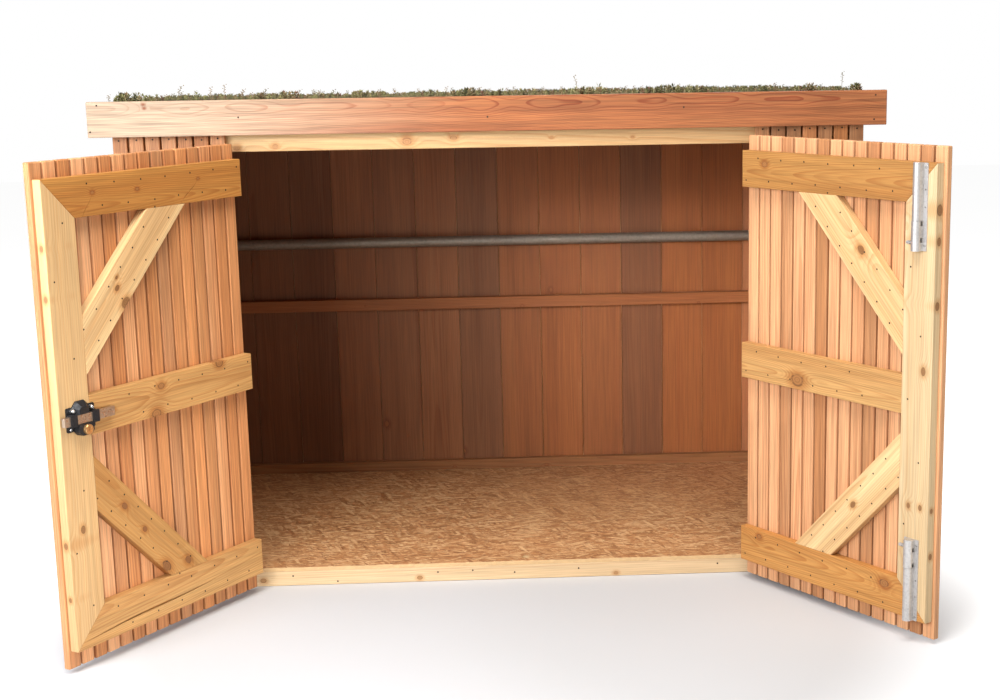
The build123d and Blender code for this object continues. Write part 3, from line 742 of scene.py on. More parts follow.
NAIL = MetalFinish(
    "nail_steel", "galvanised_steel", pale=paint(62, 46, 34), dull=paint(34, 25, 19), spangle=2.0 * MM,
    smooth=0.45, rough=0.7, metallic=0.6)
PLANTS = PlantFinish("sedum_leaves", "living_roof")
SOIL = SoilFinish("moss_bed", "living_roof")
PAPER = PaperFinish("studio_paper", "studio")


@cache
def mixed(finish: Finish) -> bpy.types.Material:
    """Builds a finish's node material, once.

    Args:
        finish: The finish.

    Returns:
        The material.
    """
    bench = Bench(bpy.data.materials.new(finish.name))
    inputs = {key.replace("_", " "): value for key, value in finish.mix(bench).items()}
    bench.node("OutputMaterial", {"Surface": bench.number("BsdfPrincipled", inputs)})
    return bench.owner


def placed(name: str, data: bpy.types.ID) -> bpy.types.Object:
    """Puts a new object with this mesh, lamp or lens in the scene.

    Args:
        name: The object's name.
        data: What it shows.

    Returns:
        The object.
    """
    made = bpy.data.objects.new(name, data)
    bpy.context.scene.collection.objects.link(made)
    return made


@dataclass(frozen=True)
class Knot:
    """A branch stub that shows on a board.

    Attributes:
        place: A point on it, in the row frame at rest.
        radius: Its radius where it shows.
        way: The way it runs through the board.
    """

    place: Vector
    radius: float
    way: KnotWay = KnotWay.FACE


@dataclass(frozen=True)
class Board:
    """How one board lies: its middle, its directions, and its length, width and thickness."""

    middle: Vector
    along: Vector
    across: Vector
    through: Vector
    size: Vector

    @classmethod
    def measure(cls, shape: Shape, facing: Vector, leading: Vector) -> "Board":
        """Measures a board's own box.

        Args:
            shape: The board's mesh, with its flat faces whole.
            facing: The way that its shown face looks, which settles the sign of through.
            leading: The way that its length counts up, which settles the sign of along.

        Returns:
            The board.
        """
        sides: list[tuple[Vector, float]] = []
        for face in shape.faces:
            for number, (normal, area) in enumerate(sides):
                if abs(normal.dot(face.normal)) > 0.999:
                    sides[number] = (normal, area + face.calc_area())
                    break
            else:
                sides.append((face.normal.copy(), face.calc_area()))
        through = max(sides, key=lambda s: s[1] * (1.02 + 0.02 * abs(s[0].dot(facing))))[0]
        runs = (e.verts[1].co - e.verts[0].co for e in shape.edges)
        flat = (r for r in runs if abs(r.normalized().dot(through)) < 0.01)
        along = max(flat, key=lambda r: r.length).normalized()
        if through.dot(facing) < 0:
            through = -through
        if along.dot(leading if abs(along.dot(leading)) > 0.2 else UP + RIGHT + INWARD) < 0:
            along = -along
        across = through.cross(along)
        axes = Matrix((along, across, through))
        corners = [axes @ v.co for v in shape.verts]
        low = Vector([min(c[i] for c in corners) for i in range(3)])
        high = Vector([max(c[i] for c in corners) for i in range(3)])
        return cls(axes.transposed() @ ((low + high) / 2), along, across, through, high - low)

    def local(self, place: Vector) -> Vector:
        """Gives a place as lengths along, across and through the board from its middle."""
        away = place - self.middle
        return Vector((away.dot(self.along), away.dot(self.across), away.dot(self.through)))

    def world(self, along: float, across: float, through: float) -> Vector:
        """Gives the place that lies so far along, across and through from the board's middle."""
        return self.middle + self.along * along + self.across * across + self.through * through

    def holds(self, place: Vector) -> bool:
        """Tells whether a place lies in or on the board."""
        inside = self.local(place)
        return all(abs(inside[i]) <= self.size[i] / 2 + 1.5 * MM for i in range(3))


def loose_shapes(mesh: bpy.types.Mesh) -> Iterator[Shape]:
    """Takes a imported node's mesh apart into its solids, with each flat face whole.

    Args:
        mesh: The node's mesh, which stays as it is.

    Yields:
        Each solid's own mesh.
    """
    whole = bmesh.new()
    whole.from_mesh(mesh)
    bmesh.ops.remove_doubles(whole, verts=whole.verts, dist=0.005 * MM)
    bmesh.ops.dissolve_limit(whole, angle_limit=math.radians(0.4), verts=whole.verts, edges=whole.edges)
    whole.verts.ensure_lookup_table()
    island = [-1] * len(whole.verts)
    count = 0
    for start in whole.verts:
        if island[start.index] >= 0:
            continue
        waiting = [start]
        while waiting:
            vert = waiting.pop()
            if island[vert.index] < 0:
                island[vert.index] = count
                waiting += [e.other_vert(vert) for e in vert.link_edges]
        count += 1
    for number in range(count):
        part = bmesh.new()
        twin = {v.index: part.verts.new(v.co) for v in whole.verts if island[v.index] == number}
        for face in whole.faces:
            if face.verts[0].index in twin:
                part.faces.new([twin[v.index] for v in face.verts])
        part.normal_update()
        yield part
    whole.free()


def ease_edges(shape: Shape, radius: float, shortest: float = 12.0 * MM) -> None:
    """Rounds a board's sawn edges.

    Args:
        shape: The board's mesh.
        radius: How far the rounding reaches.
        shortest: Edges shorter than this, such as those of a bored hole, stay sharp.
    """
    sharp = [e for e in shape.edges
             if e.calc_length() > shortest and e.is_manifold and e.calc_face_angle(0.0) > math.radians(20)]
    bmesh.ops.bevel(shape, geom=sharp, offset=radius, segments=2, profile=0.5, affect="EDGES",
                    clamp_overlap=True)


class Pile:
    """Points, faces and vectors gathered from many shapes for one joined mesh."""

    def __init__(self) -> None:
        """Starts an empty pile."""
        self.points: list[np.ndarray] = []
        self.faces: list[tuple[int, ...]] = []
        self.vectors: dict[str, list[np.ndarray]] = {}
        self.count = 0

    def put(self, points: np.ndarray, faces: Sequence[Sequence[int]], **vectors: np.ndarray | Vector) -> None:
        """Puts one shape on the pile.

        Args:
            points: Its points, in rows.
            faces: Its faces, as numbers of its points.
            **vectors: A vector for each point, or one for them all, by its attribute's name.
        """
        self.points.append(points)
        self.faces += [tuple(i + self.count for i in face) for face in faces]
        for name, value in vectors.items():
            rows = np.broadcast_to(np.asarray(value, float), points.shape)
            self.vectors.setdefault(name, []).append(rows)
        self.count += len(points)

    def piece(self, name: str, finish: Finish, smooth: bool = False) -> bpy.types.Object:
        """Makes the gathered shapes one object.

        Args:
            name: The piece's name.
            finish: Its finish.
            smooth: Whether its faces are shaded smooth.

        Returns:
            The object, which rides on nothing yet.
        """
        mesh = bpy.data.meshes.new(name)
        mesh.from_pydata(np.vstack(self.points).tolist(), [], self.faces)
        mesh.polygons.foreach_set("use_smooth", [smooth] * len(self.faces))
        for key, rows in self.vectors.items():
            made = mesh.attributes.new(key, "FLOAT_VECTOR", "POINT")
            made.data.foreach_set("vector", np.vstack(rows).astype(np.float32).ravel())
        mesh.materials.append(mixed(finish))
        mesh.update()
        return placed(name, mesh)

    def seat(self, name: str, finish: Finish, body: str = "shelter", *nodes: str,
             smooth: bool = False) -> None:
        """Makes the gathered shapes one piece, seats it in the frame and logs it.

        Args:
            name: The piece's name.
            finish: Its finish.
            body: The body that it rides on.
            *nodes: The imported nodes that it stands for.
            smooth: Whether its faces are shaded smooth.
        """
        piece = self.piece(name, finish, smooth)
        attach(piece, body)
        if nodes:
            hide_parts(*nodes)
        LOG.info("%s rides on %s, %d faces", name, body, len(self.faces))


def dress(node: str, finish: Finish) -> None:
    """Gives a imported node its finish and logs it.

    Args:
        node: The node, whose shape stays.
        finish: Its finish.
    """
    shown = frame["nodes"][node]
    for holder in shown.material_slots:
        holder.material = mixed(finish)
    LOG.info("%s keeps its shape and is finished in %s", node, finish.name)


def strips(rings: int, sides: int) -> list[tuple[int, ...]]:
    """Numbers the faces between circles of points, each with this many, that lie one above the other."""
    return [(ring * sides + k, ring * sides + (k + 1) % sides, (ring + 1) * sides + (k + 1) % sides,
             (ring + 1) * sides + k) for ring in range(rings - 1) for k in range(sides)]


@dataclass
class Timber:
    """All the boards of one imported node, each with eased edges and the grain of its own log.

    Attributes:
        node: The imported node, which the boards stand for.
        finish: Their finish.
        ease: The radius of their edges.
        body: The body that they ride on.
        facing: The way that the shown faces look.
        leading: The way that lengths along them, and the boards themselves, are counted.
        knots: The branch stubs that the photo shows, in the row frame.
        wild_knots: How many more each metre of board has, on average.
        log_reach: How far from a board the middle of its log may lie.
        taper: The most that rings lean along a board.
        cracks: The cracks to cut.
        tints: The tone and hue of each board that stands out, by its number in the order of leading.
    """

    node: str
    finish: WoodFinish | StrandFinish
    ease: float = 0.0
    body: str = "shelter"
    facing: Vector = -INWARD
    leading: Vector = RIGHT
    knots: Sequence[Knot] = ()
    wild_knots: float = 0.0
    log_reach: float = 60.0 * MM
    taper: float = 0.02
    cracks: "Sequence[Crack]" = ()
    tints: dict[int, Pair] = field(default_factory=dict)

    def sorted_shapes(self) -> list[tuple[Board, Shape]]:
        """Measures the boards.

        Returns:
            Each board and its mesh, in the order of leading.
        """
        found = [(Board.measure(shape, self.facing, self.leading), shape)
                 for shape in loose_shapes(frame["nodes"][self.node].data)]
        return sorted(found, key=lambda pair: (round(pair[0].middle.dot(self.leading), 4),
                                               round(pair[0].middle.z, 4)))

    def boards(self) -> list[Board]:
        """Gives the boards alone, in the order of leading."""
        return [board for board, _ in self.sorted_shapes()]

    def build(self) -> None:
        """Makes the boards as one piece in place of the node."""
        chance = random.Random(self.node)
        pile = Pile()
        for number, (board, shape) in enumerate(self.sorted_shapes()):
            ease_edges(shape, self.ease)
            for crack in self.cracks:
                if board.holds(crack.start):
                    shape = crack.cut(shape, board)
            self.put_board(pile, board, shape, chance, self.tints.get(number))
            shape.free()
        pile.seat(f"{self.node}_boards", self.finish, self.body, self.node)

    def put_board(self, pile: Pile, board: Board, shape: Shape, chance: random.Random,
                  tint: Pair | None = None) -> None:
        """Puts one board on the pile with its grain.

        Args:
            pile: The pile that it goes on.
            board: How it lies.
            shape: Its mesh, in place.
            chance: The node's own chance.
            tint: Its tone and hue, 0 to 1, where it stands out.
        """
        shape.verts.index_update()
        points = np.array([v.co for v in shape.verts])
        faces = [[v.index for v in face.verts] for face in shape.faces]
        axes = np.array([board.along, board.across, board.through])
        grain = (points - np.array(board.middle)) @ axes.T
        pith = Vector((chance.uniform(-1, 1) * self.log_reach,
                       chance.choice((-1, 1)) * (board.size.z / 2 + chance.uniform(0.2, 1) * self.log_reach),
                       chance.uniform(-1, 1) * self.taper))
        tone, hue, seed = (chance.random() for _ in range(3))
        tint = Vector((*(tint or (tone, hue)), seed))
        knots = {f"{KNOT}_{n}": v for n, v in enumerate(self.knot_vectors(board, chance))}
        pile.put(points, faces, **{GRAIN: grain, PITH: pith, TINT: tint}, **knots)

    def knot_vectors(self, board: Board, chance: random.Random) -> list[Vector]:
        """Gives a board's knots as its finish reads them: along, aside, and the radius, signed by its way.

        Args:
            board: The board.
            chance: The node's own chance.

        Returns:
            As many vectors as a board may have knots.
        """
        found = []
        for knot in self.knots:
            if board.holds(knot.place):
                at = board.local(knot.place)
                aside = at.y if knot.way is KnotWay.FACE else at.z
                found.append(Vector((at.x, aside, knot.radius * knot.way.value)))
        expected = self.wild_knots * board.size.x
        for _ in range(WILD_KNOTS - len(found)):
            along = chance.uniform(-0.48, 0.48) * board.size.x
            aside = chance.uniform(-0.5, 0.5) * board.size.y
            radius = chance.uniform(0.04, 0.13) * board.size.y
            if chance.random() < expected / WILD_KNOTS:
                found.append(Vector((along, aside, radius)))
        found += [Vector((NOWHERE, 0.0, NO_RADIUS))] * KNOTS_A_BOARD
        return found[:KNOTS_A_BOARD]


@dataclass(frozen=True)
class NailHead:
    """A small nail, driven until its head stands a hair above the wood, in a dark ring of painted shadow.

    Attributes:
        radius: The head's radius.
        rim: How far its rim stands above the wood.
        rise: How far its middle stands above its rim.
        shadow_radius: The radius of the dark ring of painted shadow on the wood round the head.
        shadow_lift: How far the ring of painted shadow stands above the wood.
        sides: How many sides the ring has.
    """

    radius: float = 1.7 * MM
    rim: float = 0.10 * MM
    rise: float = 0.25 * MM
    shadow_radius: float = 2.5 * MM
    shadow_lift: float = 0.02 * MM
    sides: int = 10

    def drive(self, pile: Pile, place: Vector, out: Vector) -> None:
        """Puts a nail on the pile.

        Args:
            pile: The pile of one body's nails.
            place: Where it enters the wood's face.
            out: The face's outward direction.
        """
        aside = out.orthogonal().normalized()
        beside = out.cross(aside)
        # The outer ring is a dark disc of painted shadow on the wood round the head.
        rings = ((self.shadow_radius, self.shadow_lift), (self.radius, self.rim),
                 (0.55 * self.radius, self.rim + 0.8 * self.rise))
        points = [place + (aside * math.cos(a) + beside * math.sin(a)) * r + out * h
                  for r, h in rings for a in (math.tau * k / self.sides for k in range(self.sides))]
        points.append(place + out * (self.rim + self.rise))
        top = len(points) - 1
        last = top - self.sides
        faces = strips(len(rings), self.sides)
        faces += [(last + k, last + (k + 1) % self.sides, top) for k in range(self.sides)]
        pile.put(np.array(points), faces)


@dataclass(frozen=True)
class Screw:
    """A round-headed screw with a cross recess, or a bolt's head that stands on a neck.

    Attributes:
        radius: The head's radius.
        rise: Its height.
        recess: Half the width of the cross.
        depth: How deep the cross is.
        neck: How high the neck under the head is.
        sides: How many sides its circles have.
        rings: How many circles the dome has.
    """

    radius: float = 3.6 * MM
    rise: float = 1.8 * MM
    recess: float = 0.55 * MM
    depth: float = 0.9 * MM
    neck: float = 0.0
    sides: int = 24
    rings: int = 6

    def drive(self, pile: Pile, place: Vector, out: Vector, turn: float) -> None:
        """Puts a screw on the pile.

        Args:
            pile: The pile of one body's screws.
            place: Where its head meets the metal.
            out: The face's outward direction.
            turn: How far it was turned, in radians.
        """
        aside = out.orthogonal().normalized()
        beside = out.cross(aside)
        circles = [(1.0, 0.0)] if self.neck else []
        for ring in range(self.rings):
            share = 1 - ring / self.rings
            circles.append((share, self.neck + self.rise * math.sqrt(1 - share ** 2.6)))
        points = []
        for share, height in circles:
            for k in range(self.sides):
                angle = math.tau * k / self.sides
                x, y = self.radius * share * math.cos(angle), self.radius * share * math.sin(angle)
                in_cross = min(abs(x), abs(y)) < self.recess and share < 0.62
                level = height - self.depth if in_cross else height
                across = x * math.cos(turn) - y * math.sin(turn)
                up = x * math.sin(turn) + y * math.cos(turn)
                points.append(place + aside * across + beside * up + out * level)
        faces = strips(len(circles), self.sides)
        faces.append(tuple(len(points) - self.sides + k for k in range(self.sides)))
        pile.put(np.array(points), faces)


def drive_screws(name: str, places: Sequence[tuple[Vector, Vector, Screw]], body: str = "shelter",
                 finish: MetalFinish = SCREW_STEEL) -> None:
    """Drives screws into the metal and seats them as one piece.

    Args:
        name: The piece's name.
        places: Each screw's place, its outward direction and its kind.
        body: The body that they ride on.
        finish: Their finish.
    """
    chance = random.Random(name)
    pile = Pile()
    for place, out, screw in places:
        screw.drive(pile, place, out, chance.uniform(0, math.pi))
    pile.seat(name, finish, body)


def nail_front(name: str, face: float, places: Pairs) -> None:
    """Drives nails into a board's front face and seats them as one piece.

    Args:
        name: The piece's name.
        face: How far in the face lies.
        places: Each nail's place, along the face from the middle of the shelter and up from the ground.
    """
    pile = Pile()
    for x, z in places:
        NailHead().drive(pile, Vector((x, face, z)), -INWARD)
    pile.seat(name, NAIL)


def front_knots(depth: float, places: Triples, way: KnotWay) -> list[Knot]:
    """Places the knots of a board along the front, each given by where along it, how high and how large."""
    return [Knot(Vector((x, depth, z)), radius, way) for x, z, radius in places]


@dataclass(frozen=True)
class Crack:
    """A drying crack that runs along a board, widest in its middle.

    Attributes:
        start: Where it starts, on the board's face in the row frame.
        end: Where it ends.
        width: Its widest gap.
        depth: How deep it goes.
        sway: How far it strays from a straight line.
        parts: How many straight parts it has.
    """

    start: Vector
    end: Vector
    width: float
    depth: float
    sway: float = 2.0 * MM
    parts: int = 12

    def cut(self, shape: Shape, board: Board) -> Shape:
        """Cuts the crack into a board's mesh.

        Args:
            shape: The board's mesh, which is freed.
            board: How it lies.

        Returns:
            The cut mesh.
        """
        wedge = bmesh.new()
        run = self.end - self.start
        rows = []
        for step in range(self.parts + 1):
            share = step / self.parts
            gap = self.width / 2 * math.sin(math.pi * min(0.97, max(0.03, share)))
            line = self.start + run * share + board.across * (self.sway * math.sin(2.3 * math.pi * share))
            rows.append([wedge.verts.new(line + board.across * (gap * side) + board.through * high)
                         for side, high in ((1, 1.0 * MM), (-1, 1.0 * MM), (0, -self.depth))])
        for low, high in zip(rows, rows[1:]):
            for k in range(3):
                wedge.faces.new((low[k], low[(k + 1) % 3], high[(k + 1) % 3], high[k]))
        wedge.faces.new(rows[0])
        wedge.faces.new(reversed(rows[-1]))
        bmesh.ops.recalc_face_normals(wedge, faces=wedge.faces)
        holders = []
        for name, source in (("crack_board", shape), ("crack_wedge", wedge)):
            mesh = bpy.data.meshes.new(name)
            source.to_mesh(mesh)
            source.free()
            holders.append(placed(name, mesh))
        holders[0].modifiers.new("crack", "BOOLEAN").object = holders[1]
        cut = bpy.data.meshes.new_from_object(holders[0].evaluated_get(bpy.context.evaluated_depsgraph_get()))
        result = bmesh.new()
        result.from_mesh(cut)
        for holder in holders:
            bpy.data.meshes.remove(holder.data)
        bpy.data.meshes.remove(cut)
        return result


@dataclass
class FloorFrame:
    """The sill, joists and back beam, and the strand board deck on them.

    Attributes:
        ease: The radius of the timbers' edges.
        deck_ease: The radius of the deck's edges.
        sill_knots: The sill's knots, along it and up from the ground, with their radii.
        sill_nails: The nails of the sill's face, along it and up from the ground.
    """

    ease: float = 1.6 * MM
    deck_ease: float = 0.5 * MM
    sill_knots: Triples = (
        (-0.674, 0.017, 6 * MM), (-0.237, 0.012, 6 * MM), (0.317, 0.009, 6 * MM))
    sill_nails: Pairs = (
        (-0.591, 0.028), (-0.467, 0.009), (-0.186, 0.027), (-0.088, 0.029), (0.030, 0.020), (0.211, 0.026),
        (0.606, 0.028))

    def build(self) -> None:
        """Makes every piece of the floor."""
        low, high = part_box("sill")
        knots = front_knots((low.y + high.y) / 2, self.sill_knots, KnotWay.EDGE)
        Timber("sill", SILL_PINE, self.ease, knots=knots).build()
        Timber("floor_back_beam", SOFTWOOD, self.ease, wild_knots=1.0).build()
        Timber("floor_joists", SOFTWOOD, self.ease, leading=RIGHT + INWARD, wild_knots=1.0).build()
        Timber("floor_deck", STRAND, self.deck_ease, facing=UP).build()
        nail_front("sill_nails", low.y, self.sill_nails)


@dataclass
class WallFrame:
    """The lintel, posts and rails that carry the walls.

    Attributes:
        ease: The radius of their edges.
        knots_a_metre: How many knots a metre of post or rail has, on average.
        lintel_knots: The lintel's knots, along it and up from the ground, with their radii.
    """

    ease: float = 1.8 * MM
    knots_a_metre: float = 1.5
    lintel_knots: Triples = (
        (-0.679, 1.221, 0.006), (-0.577, 1.223, 0.006), (-0.228, 1.230, 0.009), (-0.104, 1.238, 0.006),
        (0.158, 1.235, 0.0035), (0.376, 1.232, 0.0035))

    def build(self) -> None:
        """Makes every piece of the frame."""
        low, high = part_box("lintel")
        knots = front_knots((low.y + high.y) / 2, self.lintel_knots, KnotWay.EDGE)
        Timber("lintel", LINTEL_PINE, self.ease, knots=knots).build()
        for node in ("door_posts", "corner_posts"):
            Timber(node, SOFTWOOD, self.ease, leading=UP + RIGHT, wild_knots=self.knots_a_metre).build()
        for node, finish in (("front_rails", SOFTWOOD), ("back_rails", BACK_RAIL)):
            Timber(node, finish, self.ease, wild_knots=self.knots_a_metre).build()
        for side, facing in ((Side.LEFT, RIGHT), (Side.RIGHT, -RIGHT)):
            Timber(f"side_rails_{side.value}", SOFTWOOD, self.ease, facing=facing, leading=INWARD + UP,
                   wild_knots=self.knots_a_metre).build()


@dataclass
class Cladding:
    """The cedar battens of the front and sides, and the stained boards of the back with their tongues.

    Attributes:
        ease: The radius of the battens' edges.
        back_ease: The radius of the back boards' edges.
        nail_jitter: How far a nail strays from its row.
        head_nails: How far the highest row lies below the battens' tops.
        tongue_grip: How far a tongue reaches into the boards beside its gap.
        tongue_thick: How thick a tongue is.
        back_tones_and_light: The tone and hue of the back boards, from the second on; partly their own tones
            and partly painted light, darker towards the left where the left door shades the wall and paler
            towards the right where light reaches it.
    """

    ease: float = 2.8 * MM
    back_ease: float = 0.6 * MM
    nail_jitter: float = 3.0 * MM
    head_nails: float = 34.0 * MM
    tongue_grip: float = 4.0 * MM
    tongue_thick: float = 6.0 * MM
    # Partly painted light: the boards darken towards the left, in the left door's shade, and grow paler
    # towards the right, where light reaches the wall.
    back_tones_and_light: Pairs = (
        (0.1, 0.0), (0.15, 0.1), (0.1, 0.2), (0.38, 0.4), (0.33, 0.3), (0.4, 0.4), (0.22, 0.3), (0.42, 0.7),
        (0.48, 0.8), (0.45, 0.7), (0.2, 0.4), (0.5, 0.9), (0.5, 1.0))

    def build(self) -> None:
        """Makes every wall."""
        for side, outward in ((Side.LEFT, -RIGHT), (Side.RIGHT, RIGHT)):
            self.wall(f"front_panel_{side.value}", WALL_CEDAR, -INWARD, RIGHT, "front_rails")
            self.wall(f"side_wall_{side.value}", WALL_CEDAR, outward, INWARD, f"side_rails_{side.value}")
        self.wall("back_wall", STAINED, INWARD, RIGHT, "back_rails", ease=self.back_ease,
                  tints=dict(enumerate(self.back_tones_and_light, 1)))
        self.tongues()

    def tongues(self) -> None:
        """Fits the thin tongues that close the gaps between the back boards."""
        timber = Timber("back_wall", SOFTWOOD, facing=INWARD)
        boards = timber.boards()
        chance = random.Random("tongues")
        pile = Pile()
        for left, right in zip(boards, boards[1:]):
            near = left.middle.x + left.size.y / 2
            far = right.middle.x - right.size.y / 2
            middle = Vector(((near + far) / 2, left.middle.y, left.middle.z))
            size = Vector((far - near + 2 * self.tongue_grip, self.tongue_thick, left.size.x - 4 * MM))
            shape = bmesh.new()
            bmesh.ops.create_cube(shape, size=1.0, matrix=Matrix.LocRotScale(middle, None, size))
            board = Board.measure(shape, INWARD, UP)
            ease_edges(shape, 0.15 * self.tongue_thick)
            timber.put_board(pile, board, shape, chance)
            shape.free()
        pile.seat("back_wall_tongues", SOFTWOOD)

    def wall(self, node: str, finish: WoodFinish, outward: Vector, leading: Vector, rails: str,
             **settings: Any) -> None:
        """Makes one wall's boards and drives their nails into its rails.

        Args:
            node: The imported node.
            finish: The boards' finish.
            outward: The way that the wall looks from outside.
            leading: The way that its boards are counted.
            rails: The node of the rails behind it.
            **settings: What is unlike the other walls.
        """
        settings = {"ease": self.ease, **settings}
        timber = Timber(node, finish, facing=outward, leading=leading, wild_knots=0.15, log_reach=90.0 * MM,
                        taper=0.006, **settings)
        timber.build()
        chance = random.Random(f"{node}_nails")
        pile = Pile()
        head = NailHead()
        heights = sorted({round(rail.middle.z, 3) for rail in Timber(rails, SOFTWOOD).boards()})
        for board in timber.boards():
            top = board.middle.z + board.size.x / 2 - self.head_nails
            for height in (*heights, top):
                rise = height - board.middle.z + chance.uniform(-1, 1) * self.nail_jitter
                aside = chance.uniform(-1, 1) * self.nail_jitter
                if abs(rise) < board.size.x / 2:
                    head.drive(pile, board.world(rise, aside, board.size.z / 2), outward)
        pile.seat(f"{node}_nails", NAIL)


@dataclass
class RoofFrame:
    """The joists, the deck and the four fascias.

    Attributes:
        ease: The radius of the joists' edges.
        deck_ease: The radius of the deck's edges.
        fascia_ease: The radius of the fascias' edges.
        fascia_nails: The front fascia's nails, along it and up from the ground.
        fascia_knots: Its small knots, along it and up from the ground, with their radii.
    """

    ease: float = 1.6 * MM
    deck_ease: float = 0.5 * MM
    fascia_ease: float = 2.0 * MM
    fascia_nails: Pairs = (
        (-1.024, 1.340), (-1.045, 1.272), (1.021, 1.336), (1.018, 1.272), (-0.011, 1.295), (-0.661, 1.304),
        (0.508, 1.312))
    fascia_knots: Triples = ((-0.904, 1.341, 0.0025), (-0.902, 1.331, 0.0028))

    def build(self) -> None:
        """Makes every piece of the roof but the plants."""
        Timber("roof_joists", SOFTWOOD, self.ease, leading=RIGHT + INWARD, wild_knots=1.0).build()
        Timber("roof_deck", STRAND, self.deck_ease, facing=-UP).build()
        looks = {"front": -INWARD, "back": INWARD, "left": -RIGHT, "right": RIGHT}
        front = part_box("fascia_front")[0].y
        knots = front_knots(front, self.fascia_knots, KnotWay.FACE)
        for place, facing in looks.items():
            Timber(f"fascia_{place}", FASCIA_CEDAR, self.fascia_ease, facing=facing, knots=knots,
                   leading=RIGHT + INWARD, log_reach=45.0 * MM, taper=0.03).build()
        nail_front("fascia_nails", front, self.fascia_nails)


